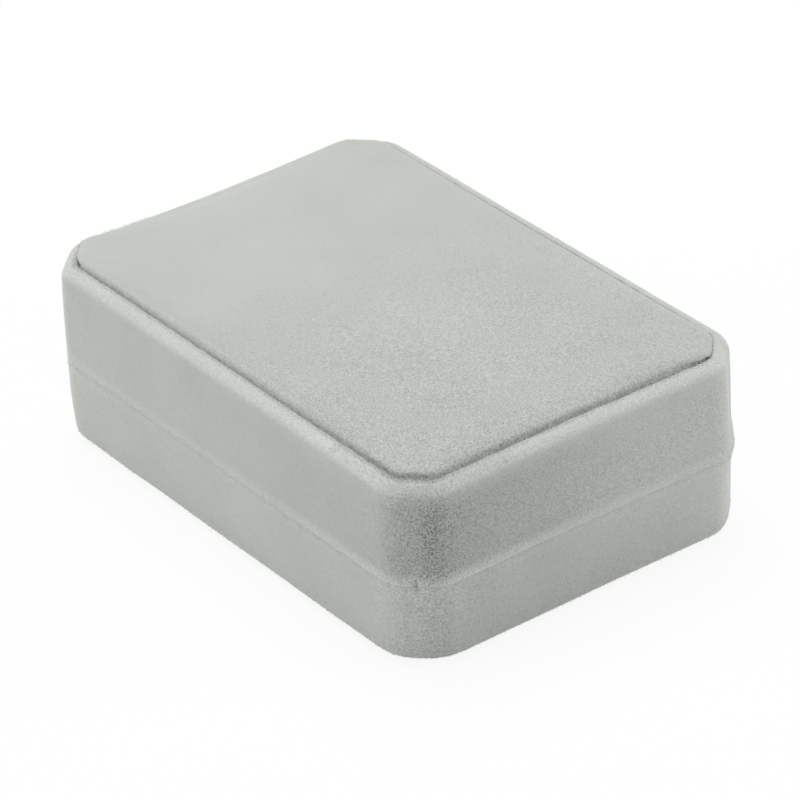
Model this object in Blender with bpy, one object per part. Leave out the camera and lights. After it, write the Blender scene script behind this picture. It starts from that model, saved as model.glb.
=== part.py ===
"""A velvet-covered necklace box with a sprung steel hinge, as an assembly of separate pieces.

X runs along the box, -Y is the side that opens, +Y is the hinge side and +Z is up. The origin is the
middle of the face that the box stands on.
"""

import math

import bmesh
import bpy
from mathutils import Matrix, Vector

MM = 0.001

# Outline of the closed box, measured over the velvet at the seam
BOX_LENGTH = 130.0 * MM
BOX_WIDTH = 89.0 * MM
CORNER_CUT = 8.5 * MM
CORNER_BLEND = 8.0 * MM
LEAST_BLEND = 0.8 * MM
LEAST_CUT = 1.5 * MM
SHORT_SIDE_BOW = 0.5 * MM
CORNER_STEPS = 3
SIDE_STEPS = 4
MOST_BLEND_SHARE = 0.49
CUT_LOSS_SHARE = 2.0 - math.sqrt(2.0)

# Heights
SEAM_HEIGHT = 18.6 * MM
LID_HEIGHT = 22.4 * MM
SEAM_GAP = 0.4 * MM

# Walls and the draft that lets them leave the mould
VELVET = 0.8 * MM
SHELL_WALL = 1.8 * MM
LINER = 0.8 * MM
FIT = 0.3 * MM
WALL_DRAFT = 0.5 * MM
ROLL = 1.5 * MM
ROLL_STEPS = 4
SHOULDER_RADIUS = 3.2 * MM
SHOULDER_STEPS = 6
FOOT_RADIUS = 1.9 * MM
FOOT_STEPS = 4

# Padded panel in the top of the lid
GROOVE_ROLL = 0.35 * MM
PANEL_RISE = 1.5 * MM
PANEL_CROWN = 0.6 * MM
PANEL_CROWN_RUN = 30.0 * MM
PANEL_EDGE_RADIUS = 1.8 * MM
RECESS_DEPTH = 3.4 * MM
PANEL_CARD = 1.0 * MM

# Satin pad inside the lid
SATIN_CARD = 1.0 * MM
SATIN_EDGE = 2.0 * MM
SATIN_CROWN = 1.6 * MM
SATIN_CROWN_RUN = 22.0 * MM
SATIN_SIDE_DRAW = 0.6 * MM

# Under the base
BOTTOM_CARD = 1.1 * MM
TURN_UNDER = 7.0 * MM

# Liners, riser and the necklace pad
COLLAR_HEIGHT = 2.0 * MM
PAD_PLAY = 1.2 * MM
RISER_WALL = 1.0 * MM
RISER_HEIGHT = 5.8 * MM
PAD_CARD = 1.2 * MM
PAD_FOAM = 5.0 * MM
PAD_EDGE_RADIUS = 2.0 * MM
PAD_CROWN = 0.8 * MM
PAD_CROWN_RUN = 20.0 * MM
SLIT_WIDTH = 1.6 * MM
SLIT_LENGTH = 13.0 * MM
SLIT_SPREAD = 56.0 * MM
NOTCH_RADIUS = 8.0 * MM
NOTCH_STEPS = 24

# Steel hinge
HINGE_LENGTH = 60.0 * MM
LEAF_HEIGHT = 7.5 * MM
LEAF_SHEET = 0.5 * MM
PIN_RADIUS = 0.55 * MM
PIN_PLAY = 0.05 * MM
PIN_END = 0.4 * MM
KNUCKLE_WIDTH = 12.0 * MM
KNUCKLE_STEPS = 16
KNUCKLE_CURL = math.radians(285.0)
COVER_LENGTH = 100.0 * MM
COVER_HEIGHT = 7.0 * MM
COVER_SHEET = 0.6 * MM
COVER_FADE_SHARE = 0.35
COVER_STEPS = 8

# Bowed springs and rivets
SPRING_SPREAD_SHARE = 0.667
SPRING_WIDTH = 7.0 * MM
SPRING_SHEET = 0.4 * MM
SPRING_REACH = 6.8 * MM
SPRING_BOW = 1.2 * MM
SPRING_FLAT = 3.4 * MM
SPRING_STEPS = 12
RIVET_RADIUS = 0.8 * MM
RIVET_HEAD = 1.6 * MM
RIVET_DOME = 0.7 * MM
RIVET_DROP = 5.0 * MM
RIVET_STEPS = 16
OVERRUN = 2.0 * MM
LEAST_WELD = 0.001 * MM

# Heights and places that follow from the sizes above
HALF_LENGTH = BOX_LENGTH / 2
HALF_WIDTH = BOX_WIDTH / 2
RIM_TOP = SEAM_HEIGHT + LID_HEIGHT
LID_EDGE = SEAM_HEIGHT + SEAM_GAP / 2
BASE_EDGE = SEAM_HEIGHT - SEAM_GAP / 2
SHELL_INSET = VELVET + FIT
SHELL_INNER = SHELL_INSET + SHELL_WALL
LINER_OUTER = SHELL_INNER + FIT
LINER_INNER = LINER_OUTER + LINER
LID_SHELL_EDGE = LID_EDGE + VELVET + FIT
BASE_SHELL_EDGE = BASE_EDGE - VELVET - FIT
SHOULDER_CENTRE = WALL_DRAFT + SHOULDER_RADIUS
SHOULDER_Z = RIM_TOP - SHOULDER_RADIUS
GROOVE_INSET = SHOULDER_CENTRE + GROOVE_ROLL
RECESS_FLOOR = RIM_TOP - RECESS_DEPTH
LID_CEILING = RECESS_FLOOR - SHELL_WALL
BASE_UNDERSIDE = BOTTOM_CARD + FIT
BASE_FLOOR = BASE_UNDERSIDE + SHELL_WALL
PANEL_INSET = GROOVE_INSET + FIT
PANEL_EDGE_TOP = RIM_TOP + PANEL_RISE
PAD_INSET = LINER_INNER + PAD_PLAY
RISER_FOOT = BASE_FLOOR + FIT
PAD_FOOT = RISER_FOOT + RISER_HEIGHT + FIT
LEAF_REACH = PIN_RADIUS + PIN_PLAY + LEAF_SHEET
PIVOT_Y = HALF_WIDTH - SHELL_INSET - LEAF_SHEET + LEAF_REACH
PIVOT_Z = SEAM_HEIGHT
SPRING_SPREAD = HINGE_LENGTH * SPRING_SPREAD_SHARE


def material(name, colour, roughness, metallic=0.0):
    made = bpy.data.materials.new(name)
    made.use_nodes = True
    shader = made.node_tree.nodes["Principled BSDF"]
    shader.inputs["Base Color"].default_value = (*colour, 1.0)
    shader.inputs["Roughness"].default_value = roughness
    shader.inputs["Metallic"].default_value = metallic
    return made


def finished(name, mesh_build, finish, parent=None):
    """Makes the object from a bmesh, faces out, and hangs it on its parent without moving it."""
    bmesh.ops.recalc_face_normals(mesh_build, faces=mesh_build.faces)
    mesh = bpy.data.meshes.new(name)
    mesh_build.to_mesh(mesh)
    mesh_build.free()
    mesh.shade_smooth()
    mesh.set_sharp_from_angle(angle=math.radians(40.0))
    obj = bpy.data.objects.new(name, mesh)
    bpy.context.scene.collection.objects.link(obj)
    mesh.materials.append(finish)
    if parent:
        obj.parent = parent
        obj.matrix_parent_inverse = Matrix.Translation(-Vector(parent.location))
    return obj


def outline(inset):
    """The box's outline, anticlockwise, moved in by inset: four sides and four cut, blended corners."""
    half_x = HALF_LENGTH - inset
    half_y = HALF_WIDTH - inset
    cut = max(CORNER_CUT - inset * CUT_LOSS_SHARE, LEAST_CUT)
    blend = max(CORNER_BLEND - inset, LEAST_BLEND)
    # A blend between two lines that meet at 45 degrees starts this far from their crossing.
    setback = min(blend * math.tan(math.pi / 8), cut * math.cos(math.pi / 4) * MOST_BLEND_SHARE)
    blend = setback / math.tan(math.pi / 8)
    corner = []
    first_centre = (half_x - blend, half_y - cut - setback)
    second_centre = (half_x - cut - setback, half_y - blend)
    for centre, start in ((first_centre, 0.0), (second_centre, math.pi / 4)):
        for step in range(CORNER_STEPS + 1):
            angle = start + math.pi / 4 * step / CORNER_STEPS
            corner.append((centre[0] + blend * math.cos(angle), centre[1] + blend * math.sin(angle)))
    points = []
    for sign_x, sign_y in ((1, 1), (-1, 1), (-1, -1), (1, -1)):
        quarter = [(sign_x * x, sign_y * y) for x, y in corner]
        points += quarter if sign_x * sign_y > 0 else quarter[::-1]
    # The short sides are drawn in a little at the middle, as a thin moulded wall is.
    bowed = []
    for index, (x, y) in enumerate(points):
        bowed.append((x, y))
        after = points[(index + 1) % len(points)]
        if abs(x - after[0]) < abs(y - after[1]) and abs(y + after[1]) < abs(y - after[1]) / SIDE_STEPS:
            for step in range(1, SIDE_STEPS):
                along = step / SIDE_STEPS
                bow = SHORT_SIDE_BOW * math.sin(math.pi * along)
                bowed.append((x - math.copysign(bow, x), y + (after[1] - y) * along))
    return bowed


def add_ring(mesh_build, inset, height):
    return [mesh_build.verts.new((x, y, height)) for x, y in outline(inset)]


def bridge(mesh_build, lower, upper):
    count = len(lower)
    for index in range(count):
        after = (index + 1) % count
        mesh_build.faces.new((lower[index], lower[after], upper[after], upper[index]))


def capped(profile):
    """A solid whose (inset, height) profile starts and ends in a flat face."""
    mesh_build = bmesh.new()
    rings = [add_ring(mesh_build, inset, height) for inset, height in profile]
    for lower, upper in zip(rings, rings[1:]):
        bridge(mesh_build, lower, upper)
    mesh_build.faces.new(rings[0][::-1])
    mesh_build.faces.new(rings[-1])
    return mesh_build


def hooped(profile):
    """A solid that runs round the box with the closed section given as (inset, height) points."""
    mesh_build = bmesh.new()
    rings = [add_ring(mesh_build, inset, height) for inset, height in profile]
    for index, ring in enumerate(rings):
        bridge(mesh_build, ring, rings[(index + 1) % len(rings)])
    return mesh_build


def arc(centre, radius, start_degrees, end_degrees, steps):
    """Points (inset, height) on an arc, where 0 degrees faces out of the box and 90 faces up."""
    points = []
    for step in range(steps + 1):
        angle = math.radians(start_degrees + (end_degrees - start_degrees) * step / steps)
        points.append((centre[0] - radius * math.cos(angle), centre[1] + radius * math.sin(angle)))
    return points


def crowned(inset, edge_height, crown, run, shares=(0.12, 0.3, 0.55, 0.8, 1.0)):
    """Rings that rise from an edge at edge_height to a crown over the length run."""
    rings = []
    for share in shares:
        rise = crown * math.sin(math.pi / 2 * share)
        rings.append((inset + run * share, edge_height + rise))
    return rings


def box(mesh_build, low, high):
    size = Vector(high) - Vector(low)
    middle = (Vector(high) + Vector(low)) / 2
    place = Matrix.Translation(middle) @ Matrix.Diagonal((*size, 1.0))
    bmesh.ops.create_cube(mesh_build, size=1.0, matrix=place)


def cutter(name, mesh_build):
    obj = finished(name, mesh_build, HIDDEN)
    obj.hide_render = True
    obj.display_type = "WIRE"
    return obj


def cut(obj, tool):
    modifier = obj.modifiers.new("cut " + tool.name, "BOOLEAN")
    modifier.operation = "DIFFERENCE"
    modifier.object = tool


def sheet_from_outlines(outer, inner):
    """Joins two open runs of points into the closed section of a bent sheet."""
    return outer + inner[::-1]


def extruded(section, low_x, high_x):
    """A solid with a (y, z) section from low_x to high_x."""
    mesh_build = bmesh.new()
    ends = [[mesh_build.verts.new((x, y, z)) for y, z in section] for x in (low_x, high_x)]
    bridge(mesh_build, *ends)
    mesh_build.faces.new(ends[0])
    mesh_build.faces.new(ends[1][::-1])
    return mesh_build


for old in list(bpy.data.objects):
    bpy.data.objects.remove(old)

VELVET_FINISH = material("velvet", (0.47, 0.5, 0.47), 0.95)
SATIN_FINISH = material("satin", (0.82, 0.81, 0.77), 0.4)
MOULDED_FINISH = material("moulded plastic", (0.24, 0.25, 0.24), 0.55)
CARD_FINISH = material("card", (0.55, 0.53, 0.48), 0.85)
FOAM_FINISH = material("foam", (0.82, 0.8, 0.68), 0.95)
STEEL_FINISH = material("nickel-plated steel", (0.72, 0.71, 0.68), 0.28, 1.0)
HIDDEN = material("cutter", (0.8, 0.1, 0.1), 0.5)

box_frame = bpy.data.objects.new("box frame", None)
lid_frame = bpy.data.objects.new("lid frame", None)
pad_frame = bpy.data.objects.new("pad frame", None)
for empty in (box_frame, lid_frame, pad_frame):
    bpy.context.scene.collection.objects.link(empty)
lid_frame.location = (0.0, PIVOT_Y, PIVOT_Z)
pad_frame.location = (0.0, 0.0, PAD_FOOT)


def lid_rim_arc(skin):
    """The shoulder over the lid's wall, moved in by skin."""
    centre = (SHOULDER_CENTRE, SHOULDER_Z)
    return arc(centre, SHOULDER_RADIUS - skin, 0.0, 90.0, SHOULDER_STEPS)


def edge_roll(edge, up):
    """The rolled velvet edge beside the seam, from under the edge out to the wall."""
    points = []
    for step in range(ROLL_STEPS + 1):
        angle = math.pi / 2 * step / ROLL_STEPS
        inset = SHELL_INSET / 2 * (1.0 - math.sin(angle))
        height = ROLL * (1.0 - math.cos(angle))
        points.append((inset, edge + up * height))
    return points


# Lid shell: ceiling, walls, shoulder, low ridge and the recess for the padded panel
ridge_inset = GROOVE_INSET - SHELL_INSET
shoulder = [point for point in lid_rim_arc(SHELL_INSET) if point[0] < ridge_inset]
ridge_radius = SHOULDER_RADIUS - SHELL_INSET
ridge_top = SHOULDER_Z + math.sqrt(ridge_radius**2 - (SHOULDER_CENTRE - ridge_inset) ** 2)
lid_profile = [
    (SHELL_INNER + WALL_DRAFT + SHELL_WALL, LID_CEILING),
    (SHELL_INNER + WALL_DRAFT, LID_CEILING - SHELL_WALL),
    (SHELL_INNER, LID_SHELL_EDGE),
    (SHELL_INSET, LID_SHELL_EDGE),
    *shoulder,
    (ridge_inset, ridge_top),
    (ridge_inset, RECESS_FLOOR),
]
lid_shell = finished("lid_shell", capped(lid_profile), MOULDED_FINISH, lid_frame)

# Lid velvet: from the recess, over the rim, down the wall and under the edge of the shell
lid_outer = edge_roll(LID_EDGE, 1) + lid_rim_arc(0.0)
groove_side = [
    (GROOVE_INSET, RIM_TOP - GROOVE_ROLL),
    (GROOVE_INSET, RECESS_FLOOR + FIT),
    (GROOVE_INSET - VELVET, RECESS_FLOOR + FIT),
]
inner_shoulder = [p for p in lid_rim_arc(VELVET) if p[0] < GROOVE_INSET - VELVET][::-1]
under_edge = [
    (VELVET, LID_EDGE + VELVET),
    (SHELL_INNER, LID_EDGE + VELVET),
    (SHELL_INNER, LID_EDGE),
]
lid_velvet_profile = lid_outer + groove_side + inner_shoulder + under_edge
lid_velvet = finished("lid_velvet", hooped(lid_velvet_profile), VELVET_FINISH, lid_frame)

# Padded top panel: card, foam and velvet skin
panel_core = PANEL_INSET + VELVET + FIT
card_low = RECESS_FLOOR + FIT
card_high = card_low + PANEL_CARD
top_board_profile = [(panel_core, card_low), (panel_core, card_high)]
finished("lid_top_board", capped(top_board_profile), CARD_FINISH, lid_frame)

skin_radius = PANEL_EDGE_RADIUS
skin_edge_centre = (PANEL_INSET + skin_radius, PANEL_EDGE_TOP - skin_radius)
skin_edge = arc(skin_edge_centre, skin_radius, 0.0, 90.0, SHOULDER_STEPS)
skin_crown = crowned(PANEL_INSET + skin_radius, PANEL_EDGE_TOP, PANEL_CROWN, PANEL_CROWN_RUN)
inner_radius = skin_radius - VELVET
inner_centre = (PANEL_INSET + skin_radius, PANEL_EDGE_TOP - skin_radius)
inner_edge = arc(inner_centre, inner_radius, 90.0, 0.0, FOOT_STEPS)
inner_crown = [(inset, height - VELVET) for inset, height in skin_crown[::-1]]
skin_profile = inner_crown + inner_edge
skin_profile += [(PANEL_INSET + VELVET, card_low), (PANEL_INSET, card_low)]
skin_profile += skin_edge + skin_crown
finished("lid_top_velvet", capped(skin_profile), VELVET_FINISH, lid_frame)

foam_radius = inner_radius - FIT
foam_edge = arc(inner_centre, foam_radius, 0.0, 90.0, FOOT_STEPS)
foam_crown = [(inset, height - VELVET - FIT) for inset, height in skin_crown]
foam_profile = [(panel_core, card_high + FIT)] + foam_edge + foam_crown
finished("lid_top_foam", capped(foam_profile), FOAM_FINISH, lid_frame)

# Lid liner and the satin pad under the ceiling
lid_liner_low = BASE_EDGE + COLLAR_HEIGHT + FIT
ceiling_step = SHELL_WALL + FIT
lid_liner_high = LID_CEILING - ceiling_step
liner_lean = WALL_DRAFT
lid_liner_profile = [
    (LINER_OUTER, lid_liner_low),
    (LINER_OUTER + liner_lean, lid_liner_high),
    (LINER_INNER + liner_lean, lid_liner_high),
    (LINER_INNER, lid_liner_low),
]
lid_liner = finished("lid_liner", hooped(lid_liner_profile), SATIN_FINISH, lid_frame)

satin_inset = LINER_INNER + WALL_DRAFT + PAD_PLAY
satin_top = LID_CEILING - FIT
board_low = satin_top - SATIN_CARD
satin_board_inset = satin_inset + SATIN_SIDE_DRAW
finished(
    "lid_pad_board",
    capped([(satin_board_inset, board_low), (satin_board_inset, satin_top)]),
    CARD_FINISH,
    lid_frame,
)
cushion_top = board_low - FIT
cushion_middle = cushion_top - SATIN_EDGE / 2
cushion_low = cushion_top - SATIN_EDGE
satin_side = []
for side_step in range(FOOT_STEPS + 1):
    side_angle = math.pi / 2 * side_step / FOOT_STEPS
    side_inset = satin_inset + SATIN_SIDE_DRAW * (1.0 - math.sin(side_angle))
    satin_side.append((side_inset, cushion_middle + SATIN_EDGE / 2 * math.cos(side_angle)))
satin_under = arc((satin_inset + SATIN_EDGE / 2, cushion_middle), SATIN_EDGE / 2, 0.0, -90.0, FOOT_STEPS)[1:]
satin_crown = crowned(satin_inset + SATIN_EDGE / 2, 0.0, SATIN_CROWN, SATIN_CROWN_RUN)
satin_profile = [(inset, cushion_low - rise) for inset, rise in satin_crown[::-1]]
satin_profile += satin_under[::-1] + satin_side[::-1]
finished("lid_pad_satin", capped(satin_profile), SATIN_FINISH, lid_frame)

# Base shell: a tray with a rounded foot
foot_inset = SHELL_INSET + WALL_DRAFT
foot_inner = FOOT_RADIUS - SHELL_INSET
foot = arc((foot_inset + foot_inner, BASE_UNDERSIDE + foot_inner), foot_inner, -90.0, 0.0, FOOT_STEPS)
base_profile = foot + [
    (SHELL_INSET, BASE_SHELL_EDGE),
    (SHELL_INNER, BASE_SHELL_EDGE),
    (SHELL_INNER + WALL_DRAFT, BASE_FLOOR),
]
base_shell = finished("base_shell", capped(base_profile), MOULDED_FINISH, box_frame)

# Base velvet: under the seam edge, down the wall, round the foot and a little way under
skin_low = FIT
base_outer = edge_roll(BASE_EDGE, -1)
outer_foot = arc((WALL_DRAFT + FOOT_RADIUS, skin_low + FOOT_RADIUS), FOOT_RADIUS, 0.0, -90.0, FOOT_STEPS)
inner_foot_radius = FOOT_RADIUS - VELVET
foot_centre = (WALL_DRAFT + FOOT_RADIUS, skin_low + FOOT_RADIUS)
inner_foot = arc(foot_centre, inner_foot_radius, -90.0, 0.0, FOOT_STEPS)
base_velvet_profile = base_outer + outer_foot
base_velvet_profile += [(TURN_UNDER, skin_low), (TURN_UNDER, skin_low + VELVET)]
base_velvet_profile += inner_foot
base_velvet_profile += [
    (VELVET, BASE_EDGE - VELVET),
    (SHELL_INNER, BASE_EDGE - VELVET),
    (SHELL_INNER, BASE_EDGE),
]
base_velvet = finished("base_velvet", hooped(base_velvet_profile), VELVET_FINISH, box_frame)

bottom_inset = TURN_UNDER + FIT
finished(
    "bottom_panel",
    capped([(bottom_inset, 0.0), (bottom_inset, BOTTOM_CARD)]),
    CARD_FINISH,
    box_frame,
)

# Base liner, whose upper edge is the collar that the lid closes over
liner_foot = BASE_FLOOR + FIT
base_liner_profile = [
    (LINER_OUTER + WALL_DRAFT, liner_foot),
    (LINER_OUTER, BASE_SHELL_EDGE),
    (LINER_OUTER, BASE_EDGE + COLLAR_HEIGHT),
    (LINER_INNER, BASE_EDGE + COLLAR_HEIGHT),
    (LINER_INNER, BASE_SHELL_EDGE),
    (LINER_INNER + WALL_DRAFT, liner_foot),
]
base_liner = finished("base_liner", hooped(base_liner_profile), SATIN_FINISH, box_frame)

riser_top = RISER_FOOT + RISER_HEIGHT
riser_profile = [
    (PAD_INSET, RISER_FOOT),
    (PAD_INSET, riser_top),
    (PAD_INSET + RISER_WALL, riser_top),
    (PAD_INSET + RISER_WALL, RISER_FOOT),
]
finished("pad_riser", hooped(riser_profile), CARD_FINISH, box_frame)

# Necklace pad: card, foam and velvet skin
pad_core = PAD_INSET + VELVET + FIT
pad_board_top = PAD_FOOT + PAD_CARD
pad_foam_low = pad_board_top + FIT
pad_edge_top = pad_foam_low + PAD_FOAM + FIT + VELVET
pad_centre = (PAD_INSET + PAD_EDGE_RADIUS, pad_edge_top - PAD_EDGE_RADIUS)
pad_skin_edge = arc(pad_centre, PAD_EDGE_RADIUS, 0.0, 90.0, SHOULDER_STEPS)
pad_skin_crown = crowned(pad_centre[0], pad_edge_top, PAD_CROWN, PAD_CROWN_RUN)
pad_inner_edge = arc(pad_centre, PAD_EDGE_RADIUS - VELVET, 90.0, 0.0, FOOT_STEPS)
pad_profile = [(inset, height - VELVET) for inset, height in pad_skin_crown[::-1]]
pad_profile += pad_inner_edge
pad_profile += [(PAD_INSET + VELVET, PAD_FOOT), (PAD_INSET, PAD_FOOT)]
pad_profile += pad_skin_edge + pad_skin_crown
pad_velvet = finished("pad_velvet", capped(pad_profile), VELVET_FINISH, pad_frame)

pad_foam_edge = arc(pad_centre, PAD_EDGE_RADIUS - VELVET - FIT, 0.0, 90.0, FOOT_STEPS)
pad_foam_profile = [(pad_core, pad_foam_low)] + pad_foam_edge
pad_foam_profile += [(inset, height - VELVET - FIT) for inset, height in pad_skin_crown]
pad_foam = finished("pad_foam", capped(pad_foam_profile), FOAM_FINISH, pad_frame)
pad_board_profile = [(pad_core, PAD_FOOT), (pad_core, pad_board_top)]
pad_board = finished("pad_board", capped(pad_board_profile), CARD_FINISH, pad_frame)

# Two slits let the chain down behind the pad, and a notch lets a finger lift it.
slits = bmesh.new()
for side in (-1, 1):
    slit_x = side * SLIT_SPREAD / 2
    back_y = HALF_WIDTH - PAD_INSET
    low = (slit_x - SLIT_WIDTH / 2, back_y - SLIT_LENGTH, PAD_FOOT - OVERRUN)
    high = (slit_x + SLIT_WIDTH / 2, back_y + OVERRUN, pad_edge_top + PAD_CROWN + OVERRUN)
    box(slits, low, high)
notch_height = pad_edge_top + PAD_CROWN + OVERRUN - (PAD_FOOT - OVERRUN)
notch_place = Matrix.Translation((0.0, PAD_INSET - HALF_WIDTH, PAD_FOOT - OVERRUN + notch_height / 2))
bmesh.ops.create_cone(
    slits,
    cap_ends=True,
    segments=NOTCH_STEPS,
    radius1=NOTCH_RADIUS,
    radius2=NOTCH_RADIUS,
    depth=notch_height,
    matrix=notch_place,
)
pad_cuts = cutter("pad cuts", slits)
for layer in (pad_velvet, pad_foam, pad_board):
    cut(layer, pad_cuts)

# Hinge: the section of a leaf is a flat sheet curled round the pin, written from the pin's axis
def leaf_section(up):
    """The (y, z) section of a leaf that hangs down from its knuckles, or stands up where up is 1."""
    runs = []
    for radius in (LEAF_REACH, PIN_RADIUS + PIN_PLAY):
        run = [(-radius, -LEAF_HEIGHT)]
        for step in range(KNUCKLE_STEPS + 1):
            angle = math.pi - KNUCKLE_CURL * step / KNUCKLE_STEPS
            run.append((radius * math.cos(angle), radius * math.sin(angle)))
        runs.append(run)
    section = sheet_from_outlines(*runs)
    return [(PIVOT_Y + y, PIVOT_Z - up * z) for y, z in section]


def rivet_places(up):
    return [(side * SPRING_SPREAD / 2, PIVOT_Z + up * RIVET_DROP) for side in (-1, 1)]


def rod(mesh_build, radius, low, high, along):
    """A round rod from low to high along X or Y."""
    low = Vector(low)
    high = Vector(high)
    turn = Vector((0.0, 0.0, 1.0)).rotation_difference(Vector(along)).to_matrix().to_4x4()
    bmesh.ops.create_cone(
        mesh_build,
        cap_ends=True,
        segments=RIVET_STEPS,
        radius1=radius,
        radius2=radius,
        depth=(high - low).length,
        matrix=Matrix.Translation((low + high) / 2) @ turn,
    )


KNUCKLES = round(HINGE_LENGTH / KNUCKLE_WIDTH)
FIRST_KNUCKLE = -HINGE_LENGTH / 2


def knuckle_gaps(name, up, first):
    """Clears the sheet where the other leaf's knuckles turn, starting at knuckle number first."""
    gaps = bmesh.new()
    for number in range(first, KNUCKLES, 2):
        low_x = FIRST_KNUCKLE + number * KNUCKLE_WIDTH - FIT / 2
        high_x = low_x + KNUCKLE_WIDTH + FIT
        if number == 0:
            low_x -= OVERRUN
        if number == KNUCKLES - 1:
            high_x += OVERRUN
        reach = LEAF_REACH + FIT
        low_z = PIVOT_Z - (reach if up < 0 else LEAF_REACH + OVERRUN)
        high_z = PIVOT_Z + (reach if up > 0 else LEAF_REACH + OVERRUN)
        low = (low_x, PIVOT_Y - LEAF_REACH - OVERRUN, low_z)
        high = (high_x, PIVOT_Y + LEAF_REACH + OVERRUN, high_z)
        box(gaps, low, high)
    return cutter(name, gaps)


def rivet_holes(name, up):
    holes = bmesh.new()
    for x, z in rivet_places(up):
        low = (x, HALF_WIDTH - LINER_INNER - WALL_DRAFT - OVERRUN, z)
        high = (x, HALF_WIDTH - SHELL_INSET + FIT, z)
        rod(holes, RIVET_RADIUS + FIT, low, high, (0, 1, 0))
    return cutter(name, holes)


lid_holes = rivet_holes("lid rivet holes", 1)
base_holes = rivet_holes("base rivet holes", -1)

leaf_ends = (FIRST_KNUCKLE, -FIRST_KNUCKLE)
leaf_base = finished("hinge_leaf_base", extruded(leaf_section(-1), *leaf_ends), STEEL_FINISH, box_frame)
cut(leaf_base, knuckle_gaps("lid knuckle room", -1, 1))
cut(leaf_base, base_holes)
leaf_lid = finished("hinge_leaf_lid", extruded(leaf_section(1), *leaf_ends), STEEL_FINISH, lid_frame)
cut(leaf_lid, knuckle_gaps("base knuckle room", 1, 0))
cut(leaf_lid, lid_holes)

pin = bmesh.new()
pin_reach = HINGE_LENGTH / 2 + PIN_END
rod(pin, PIN_RADIUS, (-pin_reach, PIVOT_Y, PIVOT_Z), (pin_reach, PIVOT_Y, PIVOT_Z), (1, 0, 0))
pin_ends = [edge for edge in pin.edges if len({round(v.co.x / MM) for v in edge.verts}) == 1]
bmesh.ops.bevel(pin, geom=pin_ends, offset=PIN_RADIUS / 3, segments=1, affect="EDGES")
finished("hinge_pin", pin, STEEL_FINISH, box_frame)

# Pockets in the plastic walls, so that the leaves lie flush and the knuckles turn freely
pocket = bmesh.new()
pocket_half = HINGE_LENGTH / 2 + PIN_END + FIT
pocket_y = PIVOT_Y - LEAF_REACH - FIT
pocket_z = LEAF_HEIGHT + FIT
pocket_low = (-pocket_half, pocket_y, PIVOT_Z - pocket_z)
pocket_high = (pocket_half, HALF_WIDTH + OVERRUN, PIVOT_Z + pocket_z)
box(pocket, pocket_low, pocket_high)
leaf_pocket = cutter("leaf pocket", pocket)
for shell, holes in ((lid_shell, lid_holes), (base_shell, base_holes)):
    cut(shell, leaf_pocket)
    cut(shell, holes)

# The velvet stops where the hinge cover lies, and its turned edge stops at the knuckles.
cover_room = bmesh.new()
cover_half = COVER_LENGTH / 2 + FIT
cover_z = COVER_HEIGHT / 2 + FIT
box(
    cover_room,
    (-cover_half, HALF_WIDTH - SHELL_INSET, PIVOT_Z - cover_z),
    (cover_half, HALF_WIDTH + OVERRUN, PIVOT_Z + cover_z),
)
knuckle_room = bmesh.new()
knuckle_z = LEAF_REACH + FIT
box(
    knuckle_room,
    (-pocket_half, pocket_y, PIVOT_Z - knuckle_z),
    (pocket_half, HALF_WIDTH, PIVOT_Z + knuckle_z),
)
cover_cutter = cutter("cover room", cover_room)
knuckle_cutter = cutter("knuckle room", knuckle_room)
for wrap in (lid_velvet, base_velvet):
    cut(wrap, cover_cutter)
    cut(wrap, knuckle_cutter)

# Windows in both liners, where the springs cross from base to lid
window = bmesh.new()
window_half = SPRING_SPREAD / 2 + SPRING_WIDTH / 2 + FIT
window_z = SPRING_REACH + FIT
box(
    window,
    (-window_half, HALF_WIDTH - LINER_INNER - WALL_DRAFT - OVERRUN, PIVOT_Z - window_z),
    (window_half, HALF_WIDTH, PIVOT_Z + window_z),
)
liner_window = cutter("spring window", window)
for liner in (lid_liner, base_liner):
    cut(liner, liner_window)

# Springs: flat strips riveted at both ends and bowed into the box between them
spring_back = HALF_WIDTH - SHELL_INNER - WALL_DRAFT / 2 - FIT


def spring_section():
    """The (y, z) section of a spring, flat at both ends and bowed between."""
    heights = [-SPRING_REACH]
    heights += [SPRING_FLAT * (2 * step / SPRING_STEPS - 1) for step in range(SPRING_STEPS + 1)]
    heights += [SPRING_REACH]
    back = []
    for height in heights:
        share = min(abs(height) / SPRING_FLAT, 1.0)
        bow = SPRING_BOW * math.cos(math.pi / 2 * share) ** 2
        back.append((spring_back - bow, PIVOT_Z + height))
    front = [(y - SPRING_SHEET, z) for y, z in back]
    return sheet_from_outlines(back, front)


def rivet_solid(x, z):
    """A straight shank from the leaf's outer face to a domed head on the spring."""
    turned = bmesh.new()
    shank_end = HALF_WIDTH - SHELL_INSET
    head_seat = spring_back - SPRING_SHEET - FIT
    profile = [(0.0, shank_end), (RIVET_RADIUS, shank_end), (RIVET_RADIUS, head_seat)]
    for step in range(FOOT_STEPS + 1):
        angle = math.pi / 2 * step / FOOT_STEPS
        profile.append((RIVET_HEAD * math.cos(angle), head_seat - RIVET_DOME * math.sin(angle)))
    profile[-1] = (0.0, profile[-1][1])
    line = [turned.verts.new((x + radius, y, z)) for radius, y in profile]
    edges = [turned.edges.new(pair) for pair in zip(line, line[1:])]
    bmesh.ops.spin(
        turned,
        geom=line + edges,
        cent=(x, 0.0, z),
        axis=(0.0, 1.0, 0.0),
        angle=2 * math.pi,
        steps=RIVET_STEPS,
    )
    bmesh.ops.remove_doubles(turned, verts=turned.verts, dist=LEAST_WELD)
    return turned


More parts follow.
